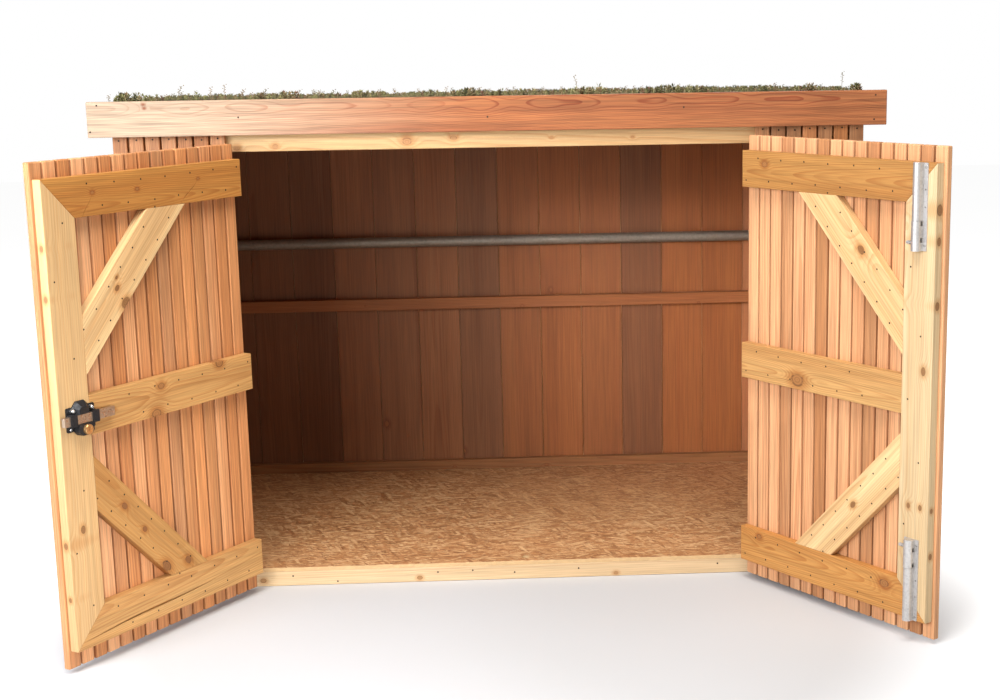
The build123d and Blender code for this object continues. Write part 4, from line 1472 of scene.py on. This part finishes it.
@dataclass
class LivingRoof:
    """A mat of moss and small fleshy plants, thickest along its edges.

    Attributes:
        sink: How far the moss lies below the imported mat's top.
        lump: How high the moss heaves.
        lumps: How wide its lumps of each kind are, and the share of the heaving that they have.
        cell: The moss bed's grid.
        edge: How wide its falling edge is.
        spacing: How far apart the tufts stand.
        tuft_radius: A tuft's radius.
        tuft_rise: Its height.
        leaf_half: Half a leaf's width.
        tiers: Each ring of leaves: where up the tuft it starts, how far it leans out, and how far it lifts.
        tier_leaves: How many leaves a ring has.
        rim_tufts: How many more tufts stand along each metre of the rim.
        sprigs: How many flower stems stand up.
        sprig_rise: The tallest stem's height over the mat.
        front_sprigs: The stems that stand out along the front, and their heights over the mat.
        clump: Where along the front the tall clump grows, and half its width.
        bare: How far in from the front left corner the plants stay low.
    """

    sink: float = 17.0 * MM
    lump: float = 3.0 * MM
    lumps: Pairs = ((0.12, 0.5), (0.05, 0.4), (0.022, 0.35), (0.011, 0.25))
    cell: float = 9.0 * MM
    edge: float = 16.0 * MM
    spacing: float = 20.0 * MM
    tuft_radius: float = 10.0 * MM
    tuft_rise: float = 18.0 * MM
    leaf_half: float = 2.1 * MM
    tiers: Triples = ((0.05, 1.0, 0.3), (0.34, 0.8, 0.32), (0.62, 0.45, 0.4))
    tier_leaves: int = 3
    rim_tufts: int = 210
    sprigs: int = 70
    sprig_rise: float = 8.0 * MM
    front_sprigs: Pairs = (
        (-1.000, 0.010), (-0.821, 0.018), (-0.735, 0.015), (-0.700, 0.021), (-0.655, 0.008), (-0.511, 0.004),
        (0.229, 0.032), (0.937, 0.030))
    clump: Pair = (-0.945, 0.040)
    bare: float = 15.0 * MM

    def __post_init__(self) -> None:
        """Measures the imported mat."""
        points = np.array([v.co for v in frame["nodes"]["living_roof_mat"].data.vertices])
        self.low, self.high = points.min(0), points.max(0)
        front = float(points[points[:, 1] < self.low[1] + 30 * MM][:, 2].max())
        back = float(points[points[:, 1] > self.high[1] - 30 * MM][:, 2].max())
        deep = float(self.high[1] - self.low[1])
        self.front_top = front
        self.fall = (front - back) / deep
        self.thick = back - float(self.low[2])
        self.chance = np.random.default_rng(71)
        self.waves = [(self.chance.normal(0, 1 / size, 2), self.chance.uniform(0, math.tau), share)
                      for size, share in self.lumps for _ in range(5)]

    def top(self, y: np.ndarray) -> np.ndarray:
        """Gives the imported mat's top at each place."""
        return self.front_top - self.fall * (y - self.low[1])

    def heave(self, x: np.ndarray, y: np.ndarray) -> np.ndarray:
        """Gives the moss's rise and fall at each place, from -1 to 1."""
        total = sum(share * np.cos(way[0] * x + way[1] * y + phase) for way, phase, share in self.waves)
        return np.clip(total / 2.6, -1, 1)

    def ground(self, x: np.ndarray, y: np.ndarray) -> np.ndarray:
        """Gives the moss's own height at each place.

        Args:
            x: The places' lengths along X.
            y: Their lengths along Y.

        Returns:
            Their heights.
        """
        rim = np.minimum.reduce([x - self.low[0], self.high[0] - x, y - self.low[1], self.high[1] - y])
        fall = np.clip(1 - rim / self.edge, 0, 1) ** 2
        return self.top(y) - self.sink + self.lump * self.heave(x, y) - fall * self.edge * 0.7

    def build(self) -> None:
        """Makes the moss bed, the tufts and the stems."""
        self.moss()
        middle = (self.low + self.high) / 2
        places = self.tuft_places()
        on_left, in_front = places[:, 0] < middle[0], places[:, 1] < middle[1]
        for side, beside in ((Side.LEFT, on_left), (Side.RIGHT, ~on_left)):
            for end, chosen in (("front", in_front), ("back", ~in_front)):
                self.tufts(f"sedum_{end}_{side.value}", places[beside & chosen])
        self.stems()

    def growth(self, x: np.ndarray, y: np.ndarray) -> np.ndarray:
        """Gives how high the plants grow at each place, where 1 is usual.

        Args:
            x: The places' lengths along X.
            y: Their lengths along Y.

        Returns:
            Their growth.
        """
        at_front = np.clip(1 - (y - self.low[1]) / 0.12, 0, 1)
        clump = np.exp(-((x - self.clump[0]) / self.clump[1]) ** 2) * at_front
        corner = np.clip((x - self.low[0]) / self.bare, 0, 1) ** 2
        behind = np.clip((y - self.low[1] - 0.04) / 0.05, 0, 1)
        usual = np.clip(0.95 + 0.75 * self.heave(x + 3.1, y), 0.35, 1.5) * (1 - 0.35 * behind)
        return (usual + 0.6 * clump) * (1 - 0.7 * at_front * (1 - corner))

    def moss(self) -> None:
        """Makes the moss bed, a closed lumpy slab."""
        columns = round((self.high[0] - self.low[0]) / self.cell)
        rows = round((self.high[1] - self.low[1]) / self.cell)
        x, y = np.meshgrid(np.linspace(self.low[0], self.high[0], columns + 1),
                           np.linspace(self.low[1], self.high[1], rows + 1))
        upper = np.column_stack([x.ravel(), y.ravel(), self.ground(x, y).ravel()])
        wide = columns + 1
        faces = [(r * wide + c, r * wide + c + 1, (r + 1) * wide + c + 1, (r + 1) * wide + c)
                 for r in range(rows) for c in range(columns)]
        rim = [*range(columns), *(r * wide + columns for r in range(rows)),
               *(rows * wide + c for c in range(columns, 0, -1)), *(r * wide for r in range(rows, 0, -1))]
        lower = upper[rim].copy()
        lower[:, 2] = self.top(lower[:, 1]) - self.thick + 0.3 * MM
        first = len(upper)
        around = len(rim)
        faces += [(rim[(k + 1) % around], rim[k], first + k, first + (k + 1) % around) for k in range(around)]
        faces.append(tuple(first + k for k in reversed(range(around))))
        pile = Pile()
        pile.put(np.vstack([upper, lower]), faces)
        pile.seat("moss_bed", SOIL, "shelter", "living_roof_mat", smooth=True)

    def tuft_places(self) -> np.ndarray:
        """Scatters the tufts on a shaken grid, with a thick row of them along the rim.

        Returns:
            Where each tuft stands.
        """
        xs = np.arange(self.low[0] + 0.5 * self.spacing, self.high[0], self.spacing)
        ys = np.arange(self.low[1] + 0.5 * self.spacing, self.high[1], self.spacing)
        grid = np.array([(x, y) for y in ys for x in xs])
        grid += self.chance.uniform(-0.5, 0.5, grid.shape) * self.spacing
        size = self.high[:2] - self.low[:2]
        rims = []
        for axis in (0, 1):
            for end in (0, 1):
                number = int(size[1 - axis] * self.rim_tufts)
                place = np.zeros((number, 2))
                place[:, 1 - axis] = self.low[1 - axis] + self.chance.uniform(0, 1, number) * size[1 - axis]
                depth = self.chance.uniform(0.002, 0.03, number)
                place[:, axis] = self.high[axis] - depth if end else self.low[axis] + depth
                rims.append(place)
        places = np.vstack([grid, *rims])
        margin = 0.6 * self.tuft_radius
        return np.clip(places, self.low[:2] + margin, self.high[:2] - margin)

    def tufts(self, name: str, places: np.ndarray) -> None:
        """Makes one quarter's tufts as one mesh, each of three rings of plump pointed leaves.

        Args:
            name: The piece's name.
            places: Where the tufts stand.
        """
        number = len(places)
        feet = np.column_stack([places, self.ground(places[:, 0], places[:, 1]) - 1.5 * MM])
        size = self.chance.uniform(0.75, 1.15, number) * self.growth(places[:, 0], places[:, 1])
        turn = self.chance.uniform(0, math.tau, number)
        tint = self.chance.uniform(0, 1, (number, 3))
        up = np.array([0.0, 0.0, 1.0])
        points, tints = [], []
        for tier, (start, lean, lift) in enumerate(self.tiers):
            for leaf in range(self.tier_leaves):
                angle = turn + math.tau * leaf / self.tier_leaves + tier * 0.7
                angle = angle + self.chance.normal(0, 0.25, number)
                reach = self.tuft_radius * size * lean * self.chance.uniform(0.75, 1.1, number)
                rise = self.tuft_rise * size * lift * self.chance.uniform(0.8, 1.2, number)
                out = np.column_stack([np.cos(angle), np.sin(angle), np.zeros(number)])
                side = np.column_stack([-np.sin(angle), np.cos(angle), np.zeros(number)])
                half = (self.leaf_half * np.clip(size, 0.5, 1.2))[:, None]
                root = feet + up * (start * self.tuft_rise * size)[:, None]
                waist = root + out * (0.62 * reach)[:, None] + up * (0.5 * rise)[:, None]
                tip = root + out * reach[:, None] + up * rise[:, None]
                left, right, back = waist - side * half, waist + side * half, waist + up * half
                points.append(np.stack([root, left, right, tip, back], 1))
                tints.append(np.repeat(tint[:, None, :], 5, axis=1))
        corners = np.concatenate(points).reshape(-1, 3)
        shape = ((0, 1, 4), (0, 4, 2), (1, 3, 4), (4, 3, 2), (0, 2, 3, 1))
        faces = [tuple(base + i for i in face) for base in range(0, len(corners), 5) for face in shape]
        pile = Pile()
        pile.put(corners, faces, **{TINT: np.concatenate(tints).reshape(-1, 3)})
        pile.seat(name, PLANTS)

    def stems(self) -> None:
        """Makes the thin flower stems with their beads, most of them low."""
        pile = Pile()
        spots = [(x, self.low[1] + 0.012, rise) for x, rise in self.front_sprigs]
        for _ in range(self.sprigs):
            x = self.chance.uniform(self.low[0] + 0.02, self.high[0] - 0.02)
            y = self.low[1] + 0.01 + (self.high[1] - self.low[1] - 0.03) * self.chance.uniform(0, 1)
            spots.append((x, y, self.sprig_rise * self.chance.uniform(-0.5, 1.0)))
        for x, y, over in spots:
            foot = np.array([x, y, float(self.ground(np.array(x), np.array(y)))])
            rise = self.sink + over
            lean = self.chance.normal(0, 0.25, 2) * rise
            tint = self.chance.uniform((0.2, 0.7, 0.0), (0.6, 1.0, 0.8))
            knees = [foot + (*(lean * s ** 2), rise * s) for s in (0.0, 0.35, 0.7, 1.0)]
            self.stalk(pile, knees, 0.7 * MM, tint)
            for step in range(9):
                share = 0.45 + 0.55 * step / 8
                at = foot + (*(lean * share ** 2), rise * share)
                angle = step * 2.4
                out = np.array([math.cos(angle), math.sin(angle), 0.4]) * (2.0 + 2.5 * share) * MM
                self.stalk(pile, [at, at + out], 0.35 * MM, tint)
                self.bead(pile, at + out, 1.5 * MM * self.chance.uniform(0.7, 1.2), tint)
        pile.seat("sedum_stems", PLANTS)

    def stalk(self, pile: Pile, knees: Sequence[np.ndarray], radius: float, tint: np.ndarray) -> None:
        """Puts a three-sided stalk on the pile.

        Args:
            pile: The pile of stems.
            knees: The points of its middle line, from its foot.
            radius: Its radius.
            tint: Its colour's three numbers.
        """
        ring = [np.array([math.cos(a), math.sin(a), 0.0]) * radius
                for a in (0.0, math.tau / 3, 2 * math.tau / 3)]
        points = np.array([knee + r for knee in knees for r in ring])
        caps = [(2, 1, 0), tuple(len(points) - 3 + i for i in range(3))]
        pile.put(points, strips(len(knees), 3) + caps, **{TINT: tint})

    def bead(self, pile: Pile, place: np.ndarray, radius: float, tint: np.ndarray) -> None:
        """Puts a small eight-sided bead on the pile.

        Args:
            pile: The pile of stems.
            place: Its middle.
            radius: Its radius.
            tint: Its colour's three numbers.
        """
        axes = np.vstack([np.eye(3), -np.eye(3)]) * radius
        faces = [(0, 1, 2), (1, 3, 2), (3, 4, 2), (4, 0, 2), (1, 0, 5), (3, 1, 5), (4, 3, 5), (0, 4, 5)]
        pile.put(place + axes, faces, **{TINT: tint})


@dataclass(frozen=True)
class DoorLook:
    """What one door's boards look like, with places out from the hinge edge and up from the ground.

    Attributes:
        face_knots: The knots of its inner face, with their radii.
        edge_knots: How high the knots of its stile's outer edge are, and their radii.
        batten_tones_and_light: The lowest and highest tone of its battens, and the same of their hue; partly
            the wood's own tones and partly painted light, the right door's brighter and paler for the
            stronger light on it.
        batten_tints: The tone and hue of its last battens, up to the one at the free edge.
        ledge_tints: The tone and hue of the ledges, from the lowest up.
        brace_tints: The tone and hue of the braces, from the lowest up.
        cracks: Each crack's start and end in a ledge, and its width.
    """

    face_knots: Triples
    edge_knots: Pairs
    batten_tones_and_light: tuple[float, float, float, float]
    batten_tints: Pairs
    ledge_tints: Pairs
    brace_tints: Pairs
    cracks: tuple[tuple[float, float, float, float, float], ...] = ()


DOOR_LOOKS = {
    Side.LEFT: DoorLook(
        face_knots=(
            (0.166, 1.158, 0.004), (0.384, 1.150, 0.005), (0.532, 1.154, 0.005), (0.474, 0.918, 0.008),
            (0.450, 0.880, 0.011), (0.474, 0.944, 0.005), (0.129, 0.671, 0.009), (0.348, 0.652, 0.008),
            (0.371, 0.585, 0.012), (0.643, 0.356, 0.006), (0.503, 0.379, 0.008), (0.440, 0.303, 0.006),
            (0.373, 0.186, 0.011), (0.293, 0.180, 0.009)),
        edge_knots=((1.037, 0.005), (0.919, 0.005), (0.325, 0.007), (0.190, 0.005)),
        batten_tones_and_light=(0.3, 0.7, 0.45, 1.0),
        batten_tints=((0.7, 0.5), (0.45, 0.8), (0.6, 0.5), (0.9, 0.1), (0.35, 0.9), (0.75, 0.4), (0.5, 0.6)),
        ledge_tints=((0.68, 0.2), (0.62, 0.4), (0.56, 1.0)),
        brace_tints=((0.25, 0.9), (0.9, 0.1)),
        cracks=((0.194, 0.100, 0.660, 0.080, 6.5 * MM), (0.166, 1.157, 0.246, 1.090, 3.0 * MM),
                (0.532, 1.151, 0.578, 1.086, 2.6 * MM))),
    Side.RIGHT: DoorLook(
        face_knots=(
            (0.090, 1.162, 0.006), (0.447, 0.970, 0.012), (0.223, 0.605, 0.014), (0.662, 0.694, 0.008),
            (0.625, 0.350, 0.007), (0.664, 0.352, 0.006), (0.435, 0.310, 0.006), (0.550, 0.128, 0.011),
            (0.078, 0.140, 0.008)),
        edge_knots=((1.085, 0.008), (1.010, 0.006), (0.855, 0.006), (0.347, 0.004), (0.230, 0.005)),
        # Partly painted highlight: the right door's battens are brighter and paler than the left door's, for
        # the stronger light on it.
        batten_tones_and_light=(0.5, 0.9, 0.0, 0.6),
        batten_tints=(
            (0.75, 0.1), (0.8, 0.1), (0.95, 0.0), (0.35, 0.5), (0.85, 0.2), (0.75, 0.3), (0.25, 0.7),
            (0.85, 0.2), (0.75, 0.3), (0.6, 0.4), (0.25, 0.6), (0.6, 0.4), (0.75, 0.2), (0.8, 0.1),
            (0.3, 0.6), (0.75, 0.2)),
        ledge_tints=((0.75, 0.7), (0.62, 0.3), (0.27, 0.7)),
        brace_tints=((0.9, 0.2), (1.0, 0.0))),
}


@dataclass
class DoorLeaf:
    """One ledged and braced door.

    Attributes:
        side: Which door it is.
        batten_ease: The radius of the battens' edges.
        frame_ease: The radius of the edges of the ledges, stile and braces.
        edge_out: How far out the middle of its stile's outer edge lies.
        nail_inset: How far the nail rows lie from a board's edges.
        nail_jitter: How far a nail strays from its row.
        end_margin: How near to a board's end a nail may be.
        brace_margin: How near to a brace's end a nail may be.
        stile_nails: How far apart the stile's nails are.
        stile_jitter: How far along the stile they stray.
        stile_rows: How far to each side of its middle they are, as shares of its width.
        crack_depth: How deep a crack is for its width.
    """

    side: Side
    batten_ease: float = 2.8 * MM
    frame_ease: float = 1.4 * MM
    edge_out: float = 684.0 * MM
    nail_inset: float = 21.0 * MM
    nail_jitter: float = 2.5 * MM
    end_margin: float = 14.0 * MM
    brace_margin: float = 62.0 * MM
    stile_nails: float = 160.0 * MM
    stile_jitter: float = 18.0 * MM
    stile_rows: Pair = (-0.12, 0.3)
    crack_depth: float = 1.8

    def __post_init__(self) -> None:
        """Finds the door's own directions from its pin and its battens."""
        self.body = f"{self.side.value}_door"
        self.look = DOOR_LOOKS[self.side]
        hinge = next(j for j in frame["joints"] if j["child"] == self.body)
        low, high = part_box(f"{self.body}_battens")
        away = (low + high) / 2 - Vector(hinge["pos_m"])
        self.turn_to(Vector((away.x, away.y, 0.0)))
        self.battens = self.timber("battens", CEDAR, self.batten_ease).boards()
        first, last = self.battens[0], self.battens[-1]
        self.turn_to(last.middle - first.middle)
        self.edge = first.middle - self.out * (first.size.y / 2)
        self.edge.z = 0.0
        self.thick = first.size.z

    def turn_to(self, out: Vector) -> None:
        """Sets the directions out from the hinge and inward through the door."""
        self.out = out.normalized()
        self.inner = UP.cross(self.out) if self.side is Side.LEFT else self.out.cross(UP)

    def timber(self, part: str, finish: WoodFinish, ease: float, **settings: Any) -> Timber:
        """Describes the boards of one of the door's nodes, by the end of its name."""
        return Timber(f"{self.body}_{part}", finish, ease, self.body, self.inner, self.out, **settings)

    def spot(self, out: float, high: float, depth: float) -> Vector:
        """Gives the place so far out, so high, and so deep in from the middle of the battens."""
        return self.edge + self.out * out + UP * high + self.inner * depth

    def build(self) -> None:
        """Makes the door."""
        look = self.look
        ledges = self.timber("ledges", TREATED_PINE, self.frame_ease, log_reach=35.0 * MM, taper=0.06)
        ledge_thick = ledges.boards()[0].size.z
        marks = [(*knot, KnotWay.FACE) for knot in look.face_knots]
        marks += [(self.edge_out, *knot, KnotWay.EDGE) for knot in look.edge_knots]
        knots = [Knot(self.spot(out, high, self.thick / 2 + ledge_thick / 2), radius, way)
                 for out, high, radius, way in marks]
        battens = self.timber("battens", CEDAR, self.batten_ease, wild_knots=0.12, log_reach=90.0 * MM,
                              taper=0.006)
        chance = random.Random(f"{self.body}_tints")
        low_tone, high_tone, low_hue, high_hue = look.batten_tones_and_light
        battens.tints = {number: (chance.uniform(low_tone, high_tone), chance.uniform(low_hue, high_hue))
                         for number in range(len(self.battens))}
        battens.tints |= dict(enumerate(look.batten_tints, len(self.battens) - len(look.batten_tints)))
        face = self.thick / 2 + ledge_thick
        ledges.cracks = [Crack(self.spot(start, start_high, face), self.spot(end, end_high, face), width,
                               width * self.crack_depth)
                         for start, start_high, end, end_high, width in look.cracks]
        ledges.knots = knots
        self.tint_upwards(ledges, look.ledge_tints)
        battens.build()
        ledges.build()
        self.timber("stile", SOFTWOOD, self.frame_ease, knots=knots, log_reach=70.0 * MM, taper=0.02).build()
        braces = self.timber("braces", BRACE_PINE, self.frame_ease, knots=knots, log_reach=50.0 * MM,
                             taper=0.03)
        self.tint_upwards(braces, look.brace_tints)
        braces.build()
        self.nails()

    @staticmethod
    def tint_upwards(timber: Timber, tints: Pairs) -> None:
        """Gives boards their tones and hues, from the lowest board up."""
        heights = [board.middle.z for board in timber.boards()]
        timber.tints = {heights.index(height): tint for height, tint in zip(sorted(heights), tints)}

    def nails(self) -> None:
        """Drives two rows of nails through each board, both into every batten only along a brace."""
        chance = random.Random(f"{self.body}_nails")
        pile = Pile()
        head = NailHead()
        for part, margin in (("ledges", self.end_margin), ("braces", self.brace_margin)):
            for board in self.timber(part, SOFTWOOD, self.frame_ease).boards():
                free_end = 0.0 if part == "braces" else board.size.y
                rows = [(number, batten, way) for number, batten in enumerate(self.battens) for way in (-1, 1)
                        if part == "braces" or way == (1 if number % 2 else -1)]
                for number, batten, way in rows:
                    row = way * (board.size.y / 2 - self.nail_inset)
                    row += chance.uniform(-1, 1) * self.nail_jitter
                    reach = (batten.middle - board.middle).dot(self.out) - row * board.across.dot(self.out)
                    run = reach / board.along.dot(self.out) + chance.uniform(-1, 1) * self.nail_jitter
                    if -board.size.x / 2 + margin < run < board.size.x / 2 - margin - free_end:
                        head.drive(pile, board.world(run, row, board.size.z / 2), self.inner)
        stile = self.timber("stile", SOFTWOOD, self.frame_ease).boards()[0]
        count = int(stile.size.x / self.stile_nails)
        for number in range(count):
            run = (number + 0.5 - count / 2) * self.stile_nails + chance.uniform(-1, 1) * self.stile_jitter
            row = self.stile_rows[number % 2] * stile.size.y + chance.uniform(-1, 1) * self.nail_jitter
            head.drive(pile, stile.world(run, row, stile.size.z / 2), self.inner)
        pile.seat(f"{self.body}_nails", NAIL, self.body)


@dataclass
class Hinges:
    """The strap hinges of one door: the plates on the front panel and the straps on the door.

    Attributes:
        door: The door that they carry.
        leaf: How thick the plates and straps are.
        plate_out: How far the plates' screws lie from the middle of the shelter.
        plate_rows: How far they lie above and below a plate's middle.
        strap_screws: How far out from the door's hinge edge the straps' screws are.
    """

    door: DoorLeaf
    leaf: float = 3.0 * MM
    plate_out: float = 729.0 * MM
    plate_rows: tuple[float, ...] = (-38.0 * MM, 0.0, 38.0 * MM)
    strap_screws: tuple[float, ...] = (40.0 * MM, 110.0 * MM, 190.0 * MM, 265.0 * MM)

    def build(self) -> None:
        """Finishes the plates and the straps, and drives their screws."""
        door = self.door
        side = door.side.value
        dress(f"hinge_plates_{side}", GALVANISED)
        dress(f"{door.body}_hinge_straps", GALVANISED)
        heights = [board.middle.z for board in door.timber("ledges", TREATED_PINE, 0.0).boards()]
        levels = (min(heights), max(heights))
        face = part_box(f"front_panel_{side}")[0].y - self.leaf
        x = -self.plate_out if door.side is Side.LEFT else self.plate_out
        drive_screws(f"hinge_plate_screws_{side}",
                     [(Vector((x, face, level + row)), -INWARD, Screw())
                      for level in levels for row in self.plate_rows])
        depth = -door.thick / 2 - self.leaf
        drive_screws(f"hinge_strap_screws_{side}",
                     [(door.spot(out, level, depth), -door.inner, Screw())
                      for level in levels for out in self.strap_screws], door.body)


@dataclass
class SlidingLock:
    """The lock on the left door: a cast case, a keyed cylinder and a flat bar, with its bolts and screws.

    Attributes:
        door: The door that it is on.
        face: How far its plate's face lies in from the middle of the battens.
        bolts: Where the bolts' heads are, out from the hinge edge and up, and their radii.
        bolt_rise: How high a bolt's head is.
        bolt_neck: How high its neck is.
        tabs: The same as bolts for the screws of the lower tabs.
    """

    door: DoorLeaf
    face: float = 37.0 * MM
    bolts: Triples = ((0.655, 0.650, 0.0048), (0.595, 0.650, 0.0048))
    bolt_rise: float = 2.5 * MM
    bolt_neck: float = 8.0 * MM
    tabs: Triples = ((0.659, 0.605, 0.0034), (0.593, 0.605, 0.0034))

    def build(self) -> None:
        """Finishes the case, the cylinder and the bar, and puts in the bolts and screws."""
        dress("lock_case", IRON)
        dress("lock_cylinder", BRASS)
        dress("lock_bar", BRIGHT)
        heads = [(out, high, Screw(radius, self.bolt_rise, neck=self.bolt_neck))
                 for out, high, radius in self.bolts]
        heads += [(out, high, Screw(radius)) for out, high, radius in self.tabs]
        door = self.door
        places = [(door.spot(out, high, self.face), door.inner, screw) for out, high, screw in heads]
        drive_screws("lock_bolts", places, door.body, CHROME)


@dataclass
class TowerBolt:
    """A galvanised bolt on the right door's stile.

    Attributes:
        level: Which end of the door it sits at.
        door: The door that it is on.
        face: How far its plate's face lies in from the middle of the battens.
        middle: How far out from the hinge edge its rod runs.
        aside: How far the screws lie from the rod's line.
        rows: How far down from the plate's shooting end each pair of screws lies, and their radius.
    """

    level: Level
    door: DoorLeaf
    face: float = 36.0 * MM
    middle: float = 640.0 * MM
    aside: float = 17.75 * MM
    rows: Pairs = (
        (10.0 * MM, 4.0 * MM), (196.0 * MM, 4.0 * MM), (63.0 * MM, 2.6 * MM), (105.0 * MM, 2.6 * MM))

    def build(self) -> None:
        """Finishes the case and the rod, and drives the plate's screws."""
        case = f"{self.level.value}_bolt_case"
        dress(case, GALVANISED)
        dress(f"{self.level.value}_bolt", GALVANISED)
        low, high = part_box(case)
        end, way = (high.z, -1) if self.level is Level.TOP else (low.z, 1)
        door = self.door
        places = [(door.spot(self.middle + aside, end + way * row, self.face), door.inner, Screw(radius))
                  for row, radius in self.rows for aside in (-self.aside, self.aside)]
        drive_screws(f"{self.level.value}_bolt_screws", places, door.body)


@dataclass
class SecurityRail:
    """The galvanised tube along the back wall and its two wall flanges.

    Attributes:
        post: The depth of the posts that carry the flanges.
        leaf: How thick the flanges are.
        rise: How far above and below the tube's middle the screws are.
    """

    post: float = 45.0 * MM
    leaf: float = 5.0 * MM
    rise: float = 32.0 * MM

    def build(self) -> None:
        """Finishes the tube and the flanges, and drives their screws."""
        dress("security_bar", WEATHERED_TUBE)
        dress("bar_flanges", GALVANISED)
        low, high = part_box("bar_flanges")
        level = (low.z + high.z) / 2
        depth = high.y - self.post / 2
        places = [(Vector((end - way * self.leaf, depth, level + row)), RIGHT * -way, Screw())
                  for end, way in ((low.x, -1), (high.x, 1)) for row in (-self.rise, self.rise)]
        drive_screws("bar_flange_screws", places)


@dataclass(frozen=True)
class SoftBox:
    """A studio soft box.

    Attributes:
        name: Its name.
        place: Where it hangs.
        size: Its width.
        watts: Its power.
        spread: The angle that its grid lets out.
        aim: The point that it looks at.
        tint: Its colour.
    """

    name: str
    place: Vector
    size: float
    watts: float
    spread: float = math.pi
    aim: Vector = Vector((0.0, -0.3, 0.6))
    tint: Triple = (1.0, 1.0, 1.0)

    def hang(self) -> None:
        """Makes the lamp."""
        lamp = bpy.data.lights.new(self.name, "AREA")
        lamp.size = self.size
        lamp.energy = self.watts
        lamp.color = self.tint
        lamp.spread = self.spread
        holder = placed(self.name, lamp)
        holder.location = self.place
        holder.rotation_mode = "QUATERNION"
        holder.rotation_quaternion = (self.aim - self.place).to_track_quat("-Z", "Y")
        holder.visible_camera = False


@dataclass
class Studio:
    """A pale floor, a white room and soft lamps.

    Attributes:
        floor_reach: How far the floor runs each way.
        room_light: How bright the room is where it lights the shelter.
        backdrop: How bright the room is where it is seen.
    """

    floor_reach: float = 14.0
    room_light: float = 0.12
    backdrop: float = 1.0
    lamps: tuple[SoftBox, ...] = (
        SoftBox("key_lamp", Vector((-2.0, -5.0, 2.6)), 2.0, 156.0),
        SoftBox("side_lamp", Vector((-2.2, -2.8, 1.6)), 1.2, 63.0, tint=(0.92, 1.02, 1.22)),
        SoftBox("inner_lamp", Vector((-2.9, -4.3, 2.0)), 0.6, 1.9, math.radians(15), Vector((0.6, 0.5, 0.5))),
        SoftBox("low_lamp", Vector((1.4, -2.8, 0.5)), 0.6, 2.2, math.radians(35), Vector((-0.9, -0.9, 0.15))),
        SoftBox("top_lamp", Vector((0.0, -2.4, 4.5)), 2.5, 250.0),
        SoftBox("back_lamp", Vector((1.2, 5.2, 3.0)), 2.5, 120.0, aim=Vector((0.0, 0.3, 0.7))))

    def build(self) -> None:
        """Makes the floor, the room and the lamps."""
        pile = Pile()
        corners = np.array([(-1, -1, 0), (1, -1, 0), (1, 1, 0), (-1, 1, 0)], float)
        pile.put(corners * self.floor_reach, [(0, 1, 2, 3)])
        floor = pile.piece("studio_floor", PAPER)
        floor.location.z = -0.5 * MM
        for lamp in self.lamps:
            lamp.hang()
        self.room()
        bpy.context.scene.view_settings.view_transform = "Standard"

    def room(self) -> None:
        """Makes the white room, which is brighter where it is seen than where it lights."""
        bench = Bench(bpy.data.worlds.new("white_room"))
        seen = bench.number("LightPath", {}, "Is Camera Ray")
        light, show = (bench.number("Background", {"Color": WHITE, "Strength": strength})
                       for strength in (self.room_light, self.backdrop))
        both = bench.number("MixShader", {0: seen, 1: light, 2: show})
        bench.node("OutputWorld", {"Surface": both})
        bpy.context.scene.world = bench.owner


@dataclass(frozen=True)
class PhotoCamera:
    """The camera that took the photograph, as fitted to the shelter's sizes.

    Attributes:
        place: Where it stood.
        yaw: How far it looks to the right of straight in, in degrees.
        pitch: How far it looks down.
        roll: How far it leans.
        focal_pixels: Its focal length, in pixels of the frame.
        axis_pixel: The pixel that its axis goes through, from the left and from the top.
        frame_pixels: The photograph's width and height.
        sensor: The width of its sensor, in millimetres.
    """

    place: Vector = Vector((0.04336, -5.03016, 1.49447))
    yaw: float = 2.965
    pitch: float = 11.818
    roll: float = -0.806
    focal_pixels: float = 1661.05
    axis_pixel: Pair = (599.03, 385.44)
    frame_pixels: tuple[int, int] = (1000, 700)
    sensor: float = 36.0

    def build(self) -> None:
        """Makes the camera and looks through it."""
        yaw, pitch, roll = (math.radians(v) for v in (self.yaw, self.pitch, self.roll))
        ahead = Vector((math.sin(yaw) * math.cos(pitch), math.cos(yaw) * math.cos(pitch), -math.sin(pitch)))
        level = Vector((math.cos(yaw), -math.sin(yaw), 0.0))
        over = level.cross(ahead)
        right = level * math.cos(roll) + over * math.sin(roll)
        up = over * math.cos(roll) - level * math.sin(roll)
        lens = bpy.data.cameras.new("photo_camera")
        width, height = self.frame_pixels
        lens.sensor_width = self.sensor
        lens.lens = self.focal_pixels * self.sensor / width
        lens.shift_x = (width / 2 - self.axis_pixel[0]) / width
        lens.shift_y = (self.axis_pixel[1] - height / 2) / width
        camera = placed("photo_camera", lens)
        turned = Matrix((right, up, -ahead)).transposed().to_4x4()
        camera.matrix_world = Matrix.Translation(self.place) @ turned
        bpy.context.scene.camera = camera


def main() -> None:
    """Builds and dresses the shelter, piece by piece, and sets up the studio."""
    logging.basicConfig(level=logging.INFO, format="%(name)s: %(message)s")
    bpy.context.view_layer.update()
    FloorFrame().build()
    WallFrame().build()
    Cladding().build()
    RoofFrame().build()
    LivingRoof().build()
    SecurityRail().build()
    doors = {side: DoorLeaf(side) for side in Side}
    for door in doors.values():
        door.build()
        Hinges(door).build()
    SlidingLock(doors[Side.LEFT]).build()
    for level in Level:
        TowerBolt(level, doors[Side.RIGHT]).build()
    Studio().build()
    PhotoCamera().build()


if __name__ == "__main__":
    main()
